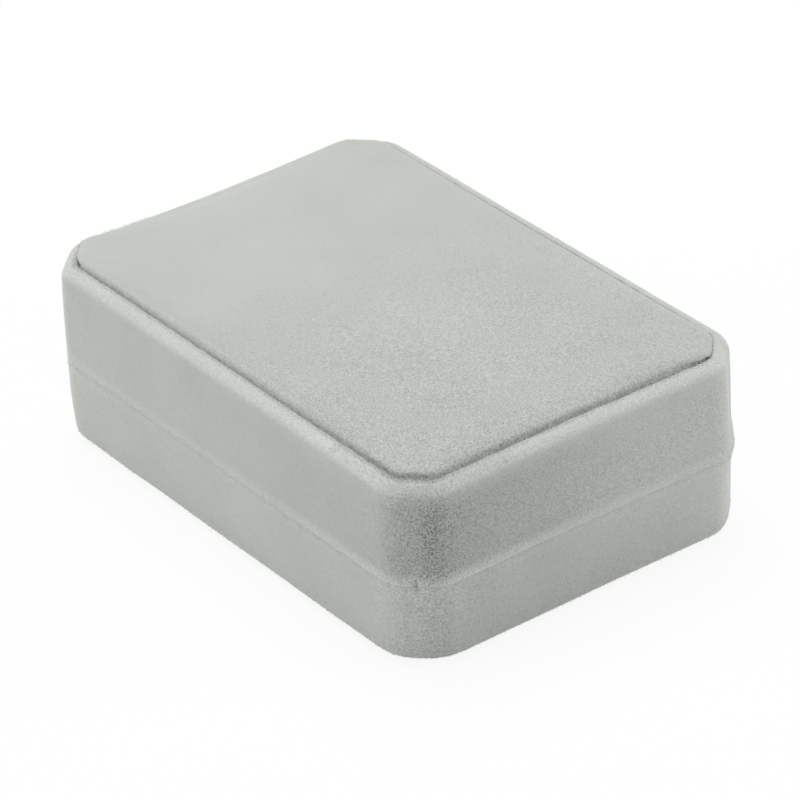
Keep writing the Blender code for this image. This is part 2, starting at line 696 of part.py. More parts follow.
for side, word in ((-1, "left"), (1, "right")):
    spring_x = side * SPRING_SPREAD / 2
    spring_ends = (spring_x - SPRING_WIDTH / 2, spring_x + SPRING_WIDTH / 2)
    spring = finished(
        f"hinge_spring_{word}", extruded(spring_section(), *spring_ends), STEEL_FINISH, box_frame
    )
    cut(spring, lid_holes)
    cut(spring, base_holes)
    for up, place, frame in ((1, "lid", lid_frame), (-1, "base", box_frame)):
        rivet = rivet_solid(spring_x, PIVOT_Z + up * RIVET_DROP)
        finished(f"{place}_rivet_{word}", rivet, STEEL_FINISH, frame)

# Hinge cover: a velvet strip flush with the back wall, raised where it passes over the knuckles
cover_flat = HALF_WIDTH
cover_back = HALF_WIDTH - SHELL_INSET + FIT


def cover_run(radius, flat):
    """Points (y, z) up one face of the cover: straight, round the knuckles, and straight again."""
    turn = math.acos((flat - PIVOT_Y) / radius)
    run = [(flat, PIVOT_Z - COVER_HEIGHT / 2)]
    for step in range(COVER_STEPS + 1):
        angle = turn * (2 * step / COVER_STEPS - 1)
        run.append((PIVOT_Y + radius * math.cos(angle), PIVOT_Z + radius * math.sin(angle)))
    run.append((flat, PIVOT_Z + COVER_HEIGHT / 2))
    return run


inner_run = cover_run(LEAF_REACH + FIT, cover_back)
outer_run = cover_run(LEAF_REACH + FIT + COVER_SHEET, cover_flat)
hinge_end = HINGE_LENGTH / 2 + PIN_END + 2 * FIT
cover_stations = (
    (-COVER_LENGTH / 2, 0.0),
    ((-COVER_LENGTH / 2 - hinge_end) / 2, COVER_FADE_SHARE),
    (-hinge_end, 1.0),
    (hinge_end, 1.0),
    ((COVER_LENGTH / 2 + hinge_end) / 2, COVER_FADE_SHARE),
    (COVER_LENGTH / 2, 0.0),
)
cover = bmesh.new()
cover_rings = []
for cover_x, raised_share in cover_stations:
    ring = []
    for run, flat in ((outer_run, cover_flat), (inner_run[::-1], cover_back)):
        for y, z in run:
            ring.append(cover.verts.new((cover_x, flat + (y - flat) * raised_share, z)))
    cover_rings.append(ring)
for lower_ring, upper_ring in zip(cover_rings, cover_rings[1:]):
    bridge(cover, lower_ring, upper_ring)
cover.faces.new(cover_rings[0])
cover.faces.new(cover_rings[-1][::-1])
finished("hinge_cover", cover, VELVET_FINISH, box_frame)
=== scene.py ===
# %% [markdown]
# # A velvet necklace box
# This lesson dresses a necklace box that is already built as solid pieces at their real size. The box is
# covered in a pale grey-green velvet, so most of the work is about how short pile catches light. Each step
# says what a piece is on the real box, how it could be made in Blender, and why it is made this way here.

# %% Load the frame
import math

import bmesh
import bpy
from mathutils import Matrix, Vector, noise


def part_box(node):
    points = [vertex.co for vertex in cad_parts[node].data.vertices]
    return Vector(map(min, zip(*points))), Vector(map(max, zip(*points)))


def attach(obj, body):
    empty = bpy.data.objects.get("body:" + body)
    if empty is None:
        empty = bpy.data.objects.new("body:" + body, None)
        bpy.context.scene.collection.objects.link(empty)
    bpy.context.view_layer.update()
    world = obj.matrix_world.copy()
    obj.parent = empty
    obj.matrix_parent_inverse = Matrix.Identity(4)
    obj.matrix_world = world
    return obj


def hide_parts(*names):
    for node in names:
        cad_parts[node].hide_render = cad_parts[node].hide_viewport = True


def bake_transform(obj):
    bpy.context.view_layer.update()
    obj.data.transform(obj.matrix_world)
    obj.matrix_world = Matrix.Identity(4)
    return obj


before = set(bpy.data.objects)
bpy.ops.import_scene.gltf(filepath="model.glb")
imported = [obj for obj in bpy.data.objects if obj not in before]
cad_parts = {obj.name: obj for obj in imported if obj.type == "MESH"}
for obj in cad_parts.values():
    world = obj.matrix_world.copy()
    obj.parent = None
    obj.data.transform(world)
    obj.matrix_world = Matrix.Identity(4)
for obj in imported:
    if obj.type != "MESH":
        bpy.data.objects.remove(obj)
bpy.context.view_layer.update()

# %% [markdown]
# ## Sizes
# The frame already holds the real sizes, so this script reads them instead of repeating them. Only what the
# frame can't tell, such as how the corners are cut and how long the pile is, gets a value here.

# %% Sizes read from the frame
MM = 0.001
lid_low, lid_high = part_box("lid_velvet")
base_low, base_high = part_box("base_velvet")
insert_low, insert_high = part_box("pad_velvet")
cover_low, cover_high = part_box("hinge_cover")
pin_low, pin_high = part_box("hinge_pin")
panel_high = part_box("lid_top_velvet")[1]
cushion_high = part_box("lid_pad_satin")[1]

HALF_LENGTH = lid_high.x
HALF_WIDTH = lid_high.y
SEAM = (lid_low.z + base_high.z) / 2
RIM_TOP = lid_high.z
PIVOT = (pin_low + pin_high) / 2
print(f"box {2 * HALF_LENGTH / MM:.1f} x {2 * HALF_WIDTH / MM:.1f} mm, seam at {SEAM / MM:.1f} mm")

# %% [markdown]
# ## Camera
# The photograph was taken with a long lens from above the front right corner. Its view was found by fitting
# a pinhole camera to the box's own edges, so the camera is placed by angles, a distance and a small roll,
# all in terms of the box's length.

# %% Camera
AZIMUTH = math.radians(54.163)
ELEVATION = math.radians(31.216)
ROLL_ANGLE = math.radians(-2.663)
DISTANCE_IN_LENGTHS = 7.6559
ASIDE_IN_LENGTHS = -0.0057
ABOVE_IN_LENGTHS = -0.1115
SENSOR_MM = 36.0
FOCAL_PIXELS = 4760.96
IMAGE_PIXELS = 800

toward = Vector((
    math.sin(AZIMUTH) * math.cos(ELEVATION),
    -math.cos(AZIMUTH) * math.cos(ELEVATION),
    math.sin(ELEVATION),
))
level_right = Vector((math.cos(AZIMUTH), math.sin(AZIMUTH), 0.0))
level_up = toward.cross(level_right)
right = level_right * math.cos(ROLL_ANGLE) + level_up * math.sin(ROLL_ANGLE)
up = level_up * math.cos(ROLL_ANGLE) - level_right * math.sin(ROLL_ANGLE)
length = 2 * HALF_LENGTH
spot = toward * DISTANCE_IN_LENGTHS - right * ASIDE_IN_LENGTHS - up * ABOVE_IN_LENGTHS

lens = bpy.data.cameras.new("studio camera")
lens.sensor_width = SENSOR_MM
lens.lens = FOCAL_PIXELS / IMAGE_PIXELS * SENSOR_MM
camera = bpy.data.objects.new("studio camera", lens)
camera.matrix_world = Matrix.Translation(spot * length) @ Matrix((right, up, toward)).transposed().to_4x4()
bpy.context.scene.collection.objects.link(camera)
bpy.context.scene.camera = camera
print("camera stands", round((spot * length).length, 3), "m away")

# %% [markdown]
# ## Shader maths as expressions
# A node tree is easier to read as a formula. This small class wraps a socket so that plus, minus, times,
# divided by and abs add Math nodes, and one function adds any other node.

# %% A wrapped socket
class Socket:
    """A shader socket that takes part in Python expressions."""

    def __init__(self, tree, socket):
        self.tree = tree
        self.socket = socket

    def math(self, operation, *values):
        numbered = {f"_{number}": value for number, value in enumerate(values)}
        return add_node(self.tree, "ShaderNodeMath", {"operation": operation}, **numbered)

    def beside(self, name):
        """Another output of the same node."""
        return Socket(self.tree, self.socket.node.outputs[name])

    def __add__(self, other):
        return self.math("ADD", self, other)

    def __sub__(self, other):
        return self.math("SUBTRACT", self, other)

    def __rsub__(self, other):
        return self.math("SUBTRACT", other, self)

    def __mul__(self, other):
        return self.math("MULTIPLY", self, other)

    def __truediv__(self, other):
        return self.math("DIVIDE", self, other)

    def __rtruediv__(self, other):
        return self.math("DIVIDE", other, self)

    def __abs__(self):
        return self.math("ABSOLUTE", self)

    __radd__ = __add__
    __rmul__ = __mul__


def put(tree, socket, value):
    """Links a socket to another, or sets its value."""
    if isinstance(value, Socket):
        tree.links.new(value.socket, socket)
    else:
        socket.default_value = value


def add_node(tree, kind, settings=None, output=0, **inputs):
    """Adds a node, sets its settings first, then its sockets by name or, as _0 and _1, by number."""
    made = tree.nodes.new(kind)
    for name, value in (settings or {}).items():
        setattr(made, name, value)
    for name, value in inputs.items():
        key = int(name[1:]) if name[0] == "_" else name.replace("_", " ")
        put(tree, made.inputs[key], value)
    return Socket(tree, made.outputs[output])


def new_material(name):
    """A material with its Principled shader, ready for nodes."""
    made = bpy.data.materials.new(name)
    made.use_nodes = True
    return made, made.node_tree, made.node_tree.nodes["Principled BSDF"]


def feed(tree, shader, **values):
    """Sets or links the shader's sockets by name."""
    for name, value in values.items():
        put(tree, shader.inputs[name.replace("_", " ")], value)


def object_place(tree, drawn_out=None):
    """A point's place on its piece; drawn_out makes what lies along the box that many times as long."""
    place = add_node(tree, "ShaderNodeTexCoord", output="Object")
    if drawn_out is None:
        return place
    return add_node(tree, "ShaderNodeMapping", Vector=place, Scale=(1.0 / drawn_out, 1.0, 1.0))


def grain(tree, size, detail=2.0, rough=0.5, drawn_out=None):
    """Noise whose lumps are about size across."""
    place = object_place(tree, drawn_out)
    kind = {"Scale": 1.0 / size, "Detail": detail, "Roughness": rough}
    return add_node(tree, "ShaderNodeTexNoise", Vector=place, **kind)


def spread(tree, value, low, high, start=0.0, end=1.0, kind="LINEAR"):
    """Takes low to high onto start to end, and holds both ends."""
    ends = {"From_Min": low, "From_Max": high, "To_Min": start, "To_Max": end}
    return add_node(tree, "ShaderNodeMapRange", {"interpolation_type": kind}, Value=value, **ends)


def blend_colours(tree, factor, dark, light):
    """Mixes two colours, given as three numbers or as a link, by a factor."""
    dark, light = [(*colour, 1.0) if isinstance(colour, tuple) else colour for colour in (dark, light)]
    return add_node(tree, "ShaderNodeMix", {"data_type": "RGBA"}, output=2, _0=factor, _6=dark, _7=light)


def relief(tree, height, depth, strength):
    """A bump of a depth in metres."""
    return add_node(tree, "ShaderNodeBump", Strength=strength, Distance=depth, Height=height)


print("shader helpers ready")

# %% [markdown]
# ## Velvet
# Velvet is a forest of short threads. Seen from the side it looks pale and smooth, because the tips catch
# the light; seen face on, the eye looks down between the tips and sees darker, speckled roots. The sheen
# layer of the shader does the first part. Noise in the colour and in the bump does the second. Each piece of
# cloth carries two attributes for it: open_pile says how speckled the pile is, and the other makes the colour
# paler or darker. That second one is painted light and shade: a painted sheen and highlight on the rims and
# rolled edges, painted shade in the groove, on the corner walls and on the right wall, and painted light on
# the base. The values that end in TONE say how far each layer of noise moves the colour between root, tip and
# pale, lit fibre, PALE_TONE how far the painted light and shade moves it, and those in TONE_OPEN how much
# more the noise does where the pile is open.

# %% Velvet material
PILE_GRAIN = 0.4 * MM
PILE_CLUMP = 1.2 * MM
PILE_DRIFT = 16.0 * MM
PILE_DEPTH = 0.16 * MM
PILE_ROOT = (0.150, 0.165, 0.141)
PILE_TIP = (0.462, 0.483, 0.449)
# The colour that painted sheen and highlights blend towards.
PILE_PALE_AND_SHEEN = (0.640, 0.655, 0.630)
EVEN_LAY = 0.58
DRIFT_TONE = 0.12
CLUMP_TONE, CLUMP_TONE_OPEN = 0.06, 0.18
SPECK_TONE, SPECK_TONE_OPEN = 0.02, 0.62
PALE_TONE = 0.42
SPECK_LOW, SPECK_HIGH = 0.28, 0.72


def attribute(tree, name):
    """Reads a number that each point of the piece carries."""
    return add_node(tree, "ShaderNodeAttribute", {"attribute_name": name}, output=2)


def velvet_material():
    made, tree, shader = new_material("velvet")
    fine = grain(tree, PILE_GRAIN, detail=4.0, rough=0.75)
    clump = grain(tree, PILE_CLUMP)
    drift = grain(tree, PILE_DRIFT, detail=1.0)
    opened = attribute(tree, "open_pile")
    speck = spread(tree, fine, SPECK_LOW, SPECK_HIGH, -1.0, 1.0)
    lay_and_light = EVEN_LAY + (drift - 0.5) * DRIFT_TONE + (clump - 0.5) * (CLUMP_TONE + opened * CLUMP_TONE_OPEN)
    # The second attribute adds painted light and shade to the noise, scaled by PALE_TONE.
    lay_and_light = lay_and_light + speck * (SPECK_TONE + opened * SPECK_TONE_OPEN) + attribute(tree, "pale_pile") * PALE_TONE
    held = add_node(tree, "ShaderNodeClamp", Value=lay_and_light)
    body = blend_colours(tree, spread(tree, held, 0.0, EVEN_LAY), PILE_ROOT, PILE_TIP)
    lit = blend_colours(tree, spread(tree, held, EVEN_LAY, 1.0), body, PILE_PALE_AND_SHEEN)
    bump = relief(tree, fine * (0.4 + opened * 0.6) + clump * 0.35, PILE_DEPTH, 0.5)
    feed(tree, shader, Base_Color=lit, Roughness=0.92, Normal=bump)
    feed(tree, shader, Specular_IOR_Level=0.12, Sheen_Weight=0.75, Sheen_Roughness=0.42)
    feed(tree, shader, Sheen_Tint=(0.95, 0.97, 0.94, 1.0))
    return made


velvet = velvet_material()
print("velvet made")

# %% [markdown]
# ## The other finishes
# Satin is woven so that long floats lie side by side, so it has a soft streak along the floats and a fine
# weave across. The shells are moulded plastic with a spark-eroded grain. Card is pressed fibre, foam is open
# cells, and the hinge is nickel-plated steel with the faint lines of the rolled sheet.

# %% Satin
SATIN_THREAD = 0.16 * MM
SATIN_SHADE, SATIN_LIGHT = (0.66, 0.645, 0.6), (0.86, 0.85, 0.81)


def satin_material():
    made, tree, shader = new_material("satin")
    floats = grain(tree, SATIN_THREAD, drawn_out=26.0)
    cloud = grain(tree, 22.0 * MM, detail=1.0)
    bands = {"wave_type": "BANDS", "bands_direction": "X"}
    sizes = {"Scale": 1.0 / (SATIN_THREAD * 20.0), "Distortion": 1.5, "Detail": 1.0}
    threads = add_node(tree, "ShaderNodeTexWave", bands, output=1, Vector=object_place(tree), **sizes)
    tone = 0.5 + (floats - 0.5) * 0.7 + (cloud - 0.5) * 0.35 + (threads - 0.5) * 0.15
    colour = blend_colours(tree, tone, SATIN_SHADE, SATIN_LIGHT)
    bump = relief(tree, floats * 0.7 + threads * 0.3, 0.05 * MM, 0.3)
    feed(tree, shader, Base_Color=colour, Roughness=0.3 + floats * 0.16, Normal=bump)
    feed(tree, shader, Sheen_Weight=0.35, Sheen_Roughness=0.3, Specular_IOR_Level=0.5)
    return made


satin = satin_material()
print(satin.name, "made")

# %% Plastic, card, foam and steel
PLASTIC_DARK, PLASTIC_LIGHT = (0.2, 0.21, 0.2), (0.3, 0.31, 0.3)
CARD_DARK, CARD_LIGHT = (0.33, 0.315, 0.28), (0.58, 0.56, 0.51)
FOAM_DARK, FOAM_LIGHT = (0.6, 0.57, 0.42), (0.86, 0.84, 0.72)
NICKEL_DARK, NICKEL_LIGHT = (0.6, 0.585, 0.55), (0.78, 0.77, 0.75)


def moulded_material():
    made, tree, shader = new_material("moulded plastic")
    spark = grain(tree, 0.25 * MM, detail=3.0)
    flow = grain(tree, 18.0 * MM)
    colour = blend_colours(tree, spark * 0.4 + flow * 0.6, PLASTIC_DARK, PLASTIC_LIGHT)
    bump = relief(tree, spark, 0.04 * MM, 0.35)
    feed(tree, shader, Base_Color=colour, Roughness=0.48 + spark * 0.14, Normal=bump)
    return made


def card_material():
    made, tree, shader = new_material("grey card")
    fibre = grain(tree, 0.5 * MM, detail=5.0, rough=0.7, drawn_out=1.0 / 0.3)
    fleck = grain(tree, 1.3 * MM, detail=4.0, rough=0.8)
    tone = 0.6 + (fibre - 0.5) * 0.9 - spread(tree, fleck, 0.62, 0.7) * 0.5
    bump = relief(tree, fibre, 0.06 * MM, 0.4)
    colour = blend_colours(tree, tone, CARD_DARK, CARD_LIGHT)
    feed(tree, shader, Base_Color=colour, Roughness=0.82 + fibre * 0.1, Normal=bump)
    return made


def foam_material():
    made, tree, shader = new_material("foam")
    cells = add_node(tree, "ShaderNodeTexVoronoi", Vector=object_place(tree), Scale=1.0 / (0.7 * MM))
    age = grain(tree, 12.0 * MM)
    colour = blend_colours(tree, cells * 0.9 + (age - 0.5) * 0.3, FOAM_DARK, FOAM_LIGHT)
    feed(tree, shader, Base_Color=colour, Roughness=0.95, Normal=relief(tree, cells, 0.2 * MM, 0.7))
    return made


def steel_material():
    made, tree, shader = new_material("nickel-plated steel")
    lines = grain(tree, 0.12 * MM, detail=3.0, drawn_out=25.0)
    haze = grain(tree, 4.0 * MM, detail=3.0)
    colour = blend_colours(tree, haze, NICKEL_DARK, NICKEL_LIGHT)
    bump = relief(tree, lines, 0.02 * MM, 0.2)
    feed(tree, shader, Base_Color=colour, Roughness=0.2 + lines * 0.14 + haze * 0.06, Normal=bump)
    feed(tree, shader, Metallic=1.0)
    return made


moulded, card, foam, steel = moulded_material(), card_material(), foam_material(), steel_material()
print("finishes made:", [made.name for made in (moulded, card, foam, steel)])

# %% [markdown]
# ## The box's outline
# Every layer of the box follows one outline: two long sides, two short sides that are drawn in slightly, and
# four cut corners whose ends are blended. A layer that lies deeper follows the same outline moved in. Each
# point also carries the way out of the box there. Other helpers say how far in a place is and how near to a
# corner, because the pile opens where the cloth is pulled round one.

# %% Points round the box
CORNER_CUT = 8.9 * MM
FRONT_CORNER_CUT = 7.6 * MM
CORNER_BLEND = 8.0 * MM
LEAST_CUT = 1.5 * MM
LEAST_BLEND = 0.8 * MM
MOST_BLEND_SHARE = 0.45
CORNER_REACH = 7.5 * MM
FAR_SIDE_BOW = 0.6 * MM
NEAR_SIDE_BOW = 0.25 * MM
LONG_STEPS = 84
SHORT_STEPS = 56
BLEND_STEPS = 9
CUT_STEPS = 14


def smooth(share):
    """Eases a share from 0 to 1 and holds it there."""
    share = min(max(share, 0.0), 1.0)
    return share * share * (3.0 - 2.0 * share)


def rises(value, start, over):
    """0 up to start, then eased up to 1 over a stretch."""
    return smooth((value - start) / over)


def bell(distance, reach):
    """A soft bump that is 1 in the middle and fades out past reach."""
    return math.exp(-((distance / reach) ** 2))


def corner_points(inset, full_cut):
    """One cut corner as (x, y, way out in radians); full_cut is its cut at no inset."""
    half_x = HALF_LENGTH - inset
    half_y = HALF_WIDTH - inset
    cut = max(full_cut - inset * (2.0 - math.sqrt(2.0)), LEAST_CUT)
    blend = max(CORNER_BLEND - inset, LEAST_BLEND)
    setback = min(blend * math.tan(math.pi / 8), cut * math.sqrt(2.0) * MOST_BLEND_SHARE)
    blend = setback / math.tan(math.pi / 8)
    points = []
    for step in range(BLEND_STEPS + 1):
        turn = math.pi / 4 * step / BLEND_STEPS
        x = half_x - blend + blend * math.cos(turn)
        y = half_y - cut - setback + blend * math.sin(turn)
        points.append((x, y, turn))
    shift = HALF_LENGTH - HALF_WIDTH
    mirrored = [(y + shift, x - shift, math.pi / 2 - turn) for x, y, turn in points[::-1]]
    start, end = Vector(points[-1][:2]), Vector(mirrored[0][:2])
    for step in range(1, CUT_STEPS):
        place = start.lerp(end, step / CUT_STEPS)
        points.append((place.x, place.y, math.pi / 4))
    return points + mirrored


def outline(inset):
    """The outline moved in by inset, anticlockwise, as (place, way out) pairs."""
    corners = []
    for side_x, side_y in ((1, 1), (-1, 1), (-1, -1), (1, -1)):
        run = []
        full_cut = FRONT_CORNER_CUT if side_x > side_y else CORNER_CUT
        for x, y, turn in corner_points(inset, full_cut):
            way = Vector((math.cos(turn) * side_x, math.sin(turn) * side_y))
            run.append((Vector((x * side_x, y * side_y)), way))
        corners.append(run if side_x == side_y else run[::-1])
    whole = []
    for number, run in enumerate(corners):
        whole += run
        place, way = run[-1]
        gap = corners[(number + 1) % 4][0][0] - place
        steps = LONG_STEPS if number % 2 == 0 else SHORT_STEPS
        bow = (0.0, FAR_SIDE_BOW, 0.0, NEAR_SIDE_BOW)[number]
        for step in range(1, steps):
            share = step / steps
            whole.append((place + gap * share - way * bow * math.sin(math.pi * share), way))
    return whole


def cut_at(point):
    """The full cut of the corner nearest to a point."""
    return FRONT_CORNER_CUT if point.x > 0.0 > point.y else CORNER_CUT


def inset_of(place):
    """Distance in from the outline at a place, measured to the nearest of its eight sides."""
    across = (HALF_LENGTH + HALF_WIDTH - cut_at(place) - abs(place.x) - abs(place.y)) / math.sqrt(2.0)
    return min(HALF_LENGTH - abs(place.x), HALF_WIDTH - abs(place.y), across)


def corner_offset(point):
    """Distance along a cut corner from its middle, positive towards the long side."""
    middle_x = HALF_LENGTH - cut_at(point) / 2
    middle_y = HALF_WIDTH - cut_at(point) / 2
    return ((abs(point.y) - middle_y) - (abs(point.x) - middle_x)) / math.sqrt(2.0)


def corner_share(point):
    """1 at the middle of a cut corner, fading out along both sides."""
    to_corner = Vector((
        abs(point.x) - HALF_LENGTH + cut_at(point) / 2,
        abs(point.y) - HALF_WIDTH + cut_at(point) / 2,
    ))
    return bell(to_corner.length, CORNER_REACH)


print("points in one ring:", len(outline(0.0)))

# %% [markdown]
# ## Cloth laid round the box
# A wrapped layer is a section carried round the outline. The section is a list of stations: how far in, how
# high, how much painted light (above zero) and painted shade (below zero) its colour gets there, and how far
# the cloth's own small waves move it out and up. The rings of points are joined into quads, which keeps the
# mesh even and easy to shade.

# %% Helpers for cloth
WAVE_LENGTH = 17.0 * MM
WAVE_HEIGHT = 0.16 * MM
DIMPLE_LENGTH = 4.5 * MM
DIMPLE_HEIGHT = 0.035 * MM
DIMPLE_SHIFT = Vector((7.0, 3.0, 1.0))
RESTING_OPEN = 0.15


class Station:
    """One line of a section; out and up say how its points follow the cloth's waves."""

    def __init__(self, inset, height, pale=0.0, out=0.0, up=0.0):
        self.inset = inset
        self.height = height
        self.pale = pale
        self.out = out
        self.up = up


def waves(point):
    """How far the cloth stands off at a point: long soft waves and small dimples."""
    long_wave = noise.noise(point / WAVE_LENGTH) * WAVE_HEIGHT
    return long_wave + noise.noise(point / DIMPLE_LENGTH + DIMPLE_SHIFT) * DIMPLE_HEIGHT


def piece_from(name, build, finish):
    """Turns a bmesh into a smooth piece at the origin with one finish."""
    mesh = bpy.data.meshes.new(name)
    build.to_mesh(mesh)
    build.free()
    mesh.shade_smooth()
    mesh.materials.append(finish)
    piece = bpy.data.objects.new(name, mesh)
    bpy.context.scene.collection.objects.link(piece)
    return piece


def lay_rings(build, stations, shape=None, pile=None):
    """Adds a ring of points for each station; shape moves them and pile gives their two attributes."""
    opened = build.verts.layers.float.new("open_pile")
    paled = build.verts.layers.float.new("pale_pile")
    rings = []
    for station in stations:
        ring = []
        for place, way in outline(station.inset):
            point = Vector((place.x, place.y, station.height))
            level = Vector((way.x, way.y, 0.0))
            wave = waves(point)
            moved = point + level * wave * station.out + Vector((0.0, 0.0, wave * station.up))
            if shape:
                moved += shape(point, level, station)
            vert = build.verts.new(moved)
            vert[opened], vert[paled] = pile(point, station) if pile else (RESTING_OPEN, station.pale)
            ring.append(vert)
        rings.append(ring)
    return rings


def join_rings(build, rings):
    """Fills the quads between each ring and the next."""
    for lower, upper in zip(rings, rings[1:]):
        for index in range(len(lower)):
            after = (index + 1) % len(lower)
            build.faces.new((lower[index], lower[after], upper[after], upper[index]))


def hoop(name, stations, finish, shape=None, pile=None):
    """A closed section carried round the outline."""
    build = bmesh.new()
    rings = lay_rings(build, stations, shape, pile)
    join_rings(build, rings + rings[:1])
    bmesh.ops.recalc_face_normals(build, faces=build.faces)
    return piece_from(name, build, finish)


def slab(name, stations, finish, shape=None, pile=None):
    """A solid between a flat underside and a top, closed at both ends."""
    build = bmesh.new()
    rings = lay_rings(build, stations, shape, pile)
    join_rings(build, rings)
    build.faces.new(rings[0][::-1])
    build.faces.new(rings[-1])
    bmesh.ops.recalc_face_normals(build, faces=build.faces)
    return piece_from(name, build, finish)


def arc(centre, radius, start_degrees, end_degrees, steps):
    """Points (inset, height) on an arc; 0 degrees faces out of the box and 90 faces up."""
    points = []
    for step in range(steps + 1):
        turn = math.radians(start_degrees + (end_degrees - start_degrees) * step / steps)
        points.append((centre[0] - radius * math.cos(turn), centre[1] + radius * math.sin(turn)))
    return points


print("helpers for cloth ready")

# %% [markdown]
# ## The velvet wraps of lid and base
# On the real box a strip of velvet is glued round each half. The lid's strip starts in the recess of the top,
# rolls over the rim, runs down the wall and turns under the edge. The base's strip starts on its edge and
# ends under the foot. The lid stands a hair proud of the base. Where the cloth rolls over an edge its pile
# fans out and catches the light, so those stations carry a painted highlight; the rim's shoulder gets a
# painted sheen, and the groove's floor painted shade.
#
# Cloth never follows a box exactly, so one function moves the points of both wraps. The hidden end of the
# hinge cloth lifts them a little at the back corners, and behind the hinge cloth they are pressed in. Their
# turned edges stand clear of the knuckles and of each other along the back, where the lid opens. The front
# right corner has a small tuck, the base is drawn in towards its foot, the rim's inner edge is ragged, and
# the far rim sags a little. The weights in the pile functions were tuned by comparing patches of the render
# with the same patches of the photograph.

# %% Shapes that both wraps share
CLOTH = 0.8 * MM
CLEAR = 0.3 * MM
EDGE_ROLL = 1.1 * MM
ROLL_DEPTH = 0.14 * MM
ROLL_STEPS = 8
SEAM_CLOSED = 0.18 * MM
TURNED_IN = 2.9 * MM
DRAFT = 0.5 * MM
LID_EDGE = lid_low.z - SEAM_CLOSED
BASE_EDGE = base_high.z + SEAM_CLOSED
LUMP_PROUD = 0.9 * MM
LUMP_REACH = 3.2 * MM
LUMP_WIDTH = 5.6 * MM
TUCK_DEPTH = 0.5 * MM
TUCK_REACH = 0.33 * MM
RIM_SAG = 0.4 * MM
FRONT_REACH = 48.0 * MM
# Painted light at the far end of the right wall.
FAR_RIGHT_LIGHT = 0.15
CORNER_DRAFT = 0.7 * MM
RIGHT_DRAFT = 0.3 * MM
RAGGED_LENGTH = 2.4 * MM
RAGGED_DEPTH = 0.3 * MM
RAGGED_BELOW_RIM = 1.5 * MM
SQUARE_TO_BACK = 0.9
STRETCH_OPEN = 0.32
FRONT_STRETCH_OPEN = 0.3
COVER_HALF = cover_high.x + CLEAR
COVER_RISE = (cover_high.z - cover_low.z) / 2 + CLEAR
COVER_PRESS = 0.6 * MM
KNUCKLE_HALF = pin_high.x + CLEAR
KNUCKLE_RISE = 1.4 * MM
BACK_RISE = 0.5 * MM
RISE_REACH = 2.2 * MM


def toward_front(point):
    """1 at the front right corner, fading out along both walls; it places painted shade and open pile there.
    """
    return bell((Vector((HALF_LENGTH, -HALF_WIDTH)) - point.xy).length, FRONT_REACH)


def by_wall(coordinate, half, fade, depth):
    """1 at a wall of the box, and 0 from depth times the fade inside it."""
    return smooth((coordinate - half) / fade + depth)


def on_right(point):
    """1 on the right short wall and 0 elsewhere."""
    return by_wall(point.x, HALF_LENGTH, 3.0 * MM, 1.5)


def far_right_light(point):
    """How much painted light brightens the right wall towards its hinge end."""
    return FAR_RIGHT_LIGHT * on_right(point) * rises(point.y, -HALF_WIDTH, 2.0 * HALF_WIDTH)


def stretched(point):
    """How far the pile stands open where the cloth is pulled round a corner, most at the front."""
    return corner_share(point) * (STRETCH_OPEN + FRONT_STRETCH_OPEN * toward_front(point))


def at_hinge(point, level, from_seam, outer):
    """Moves a point at the back: out over the hinge cloth's end, in behind it, and off what turns there."""
    moved = Vector()
    near = corner_share(point)
    if near > 0.05 and outer:
        lump = bell(from_seam, LUMP_REACH) * bell(corner_offset(point), LUMP_WIDTH)
        moved += level * LUMP_PROUD * lump * smooth(near * 1.6)
    if outer and level.y > SQUARE_TO_BACK:
        covered = smooth((COVER_HALF - abs(point.x)) / CLOTH) * smooth((COVER_RISE - abs(from_seam)) / CLOTH)
        moved -= level * COVER_PRESS * covered
    at_knuckles = smooth((KNUCKLE_HALF - abs(point.x)) / CLOTH) * KNUCKLE_RISE
    at_back = by_wall(point.y, HALF_WIDTH, 2.0 * MM, 1.5) * BACK_RISE
    rise = max(at_knuckles if level.y > SQUARE_TO_BACK else 0.0, at_back)
    moved.z += math.copysign(rise, from_seam) * smooth(2.0 - abs(from_seam) / RISE_REACH)
    return moved


def wrap_shape(point, level, station):
    """Moves a wrap's point at the hinge, the tuck, the foot, the ragged edge and the sagging far rim."""
    from_seam = point.z - SEAM
    outer = station.inset < CLOTH * 0.9 and station.out > 0.0
    moved = Vector()
    if point.y > 0.0:
        moved = at_hinge(point, level, from_seam, outer)
    elif point.x > 0.0 and outer and abs(point.z - LID_EDGE) < EDGE_ROLL:
        depth = TUCK_DEPTH if point.z >= LID_EDGE else TUCK_DEPTH / 2
        moved -= level * depth * bell(corner_offset(point), TUCK_REACH)
    if station.out > 0.0 and from_seam < 0.0:
        down = (from_seam / SEAM) ** 2
        if point.y < 0.0:
            moved -= level * CORNER_DRAFT * smooth(corner_share(point) * 1.4) * down
        moved -= level * RIGHT_DRAFT * on_right(point) * down
    if station.inset > GROOVE - MM and point.z > RIM_TOP - RAGGED_BELOW_RIM:
        moved += level * noise.noise(point / RAGGED_LENGTH) * RAGGED_DEPTH
    if point.x < 0.0 and station.out + station.up > 0.0:
        across = max(1.0 - (point.y / HALF_WIDTH) ** 2, 0.0)
        on_side = rises(-point.x, HALF_LENGTH * 0.8, HALF_LENGTH * 0.1)
        sag = RIM_SAG * across * on_side * rises(point.z, SEAM, RIM_TOP - SEAM)
        moved += Vector((sag * 0.6, 0.0, -sag))
    return moved


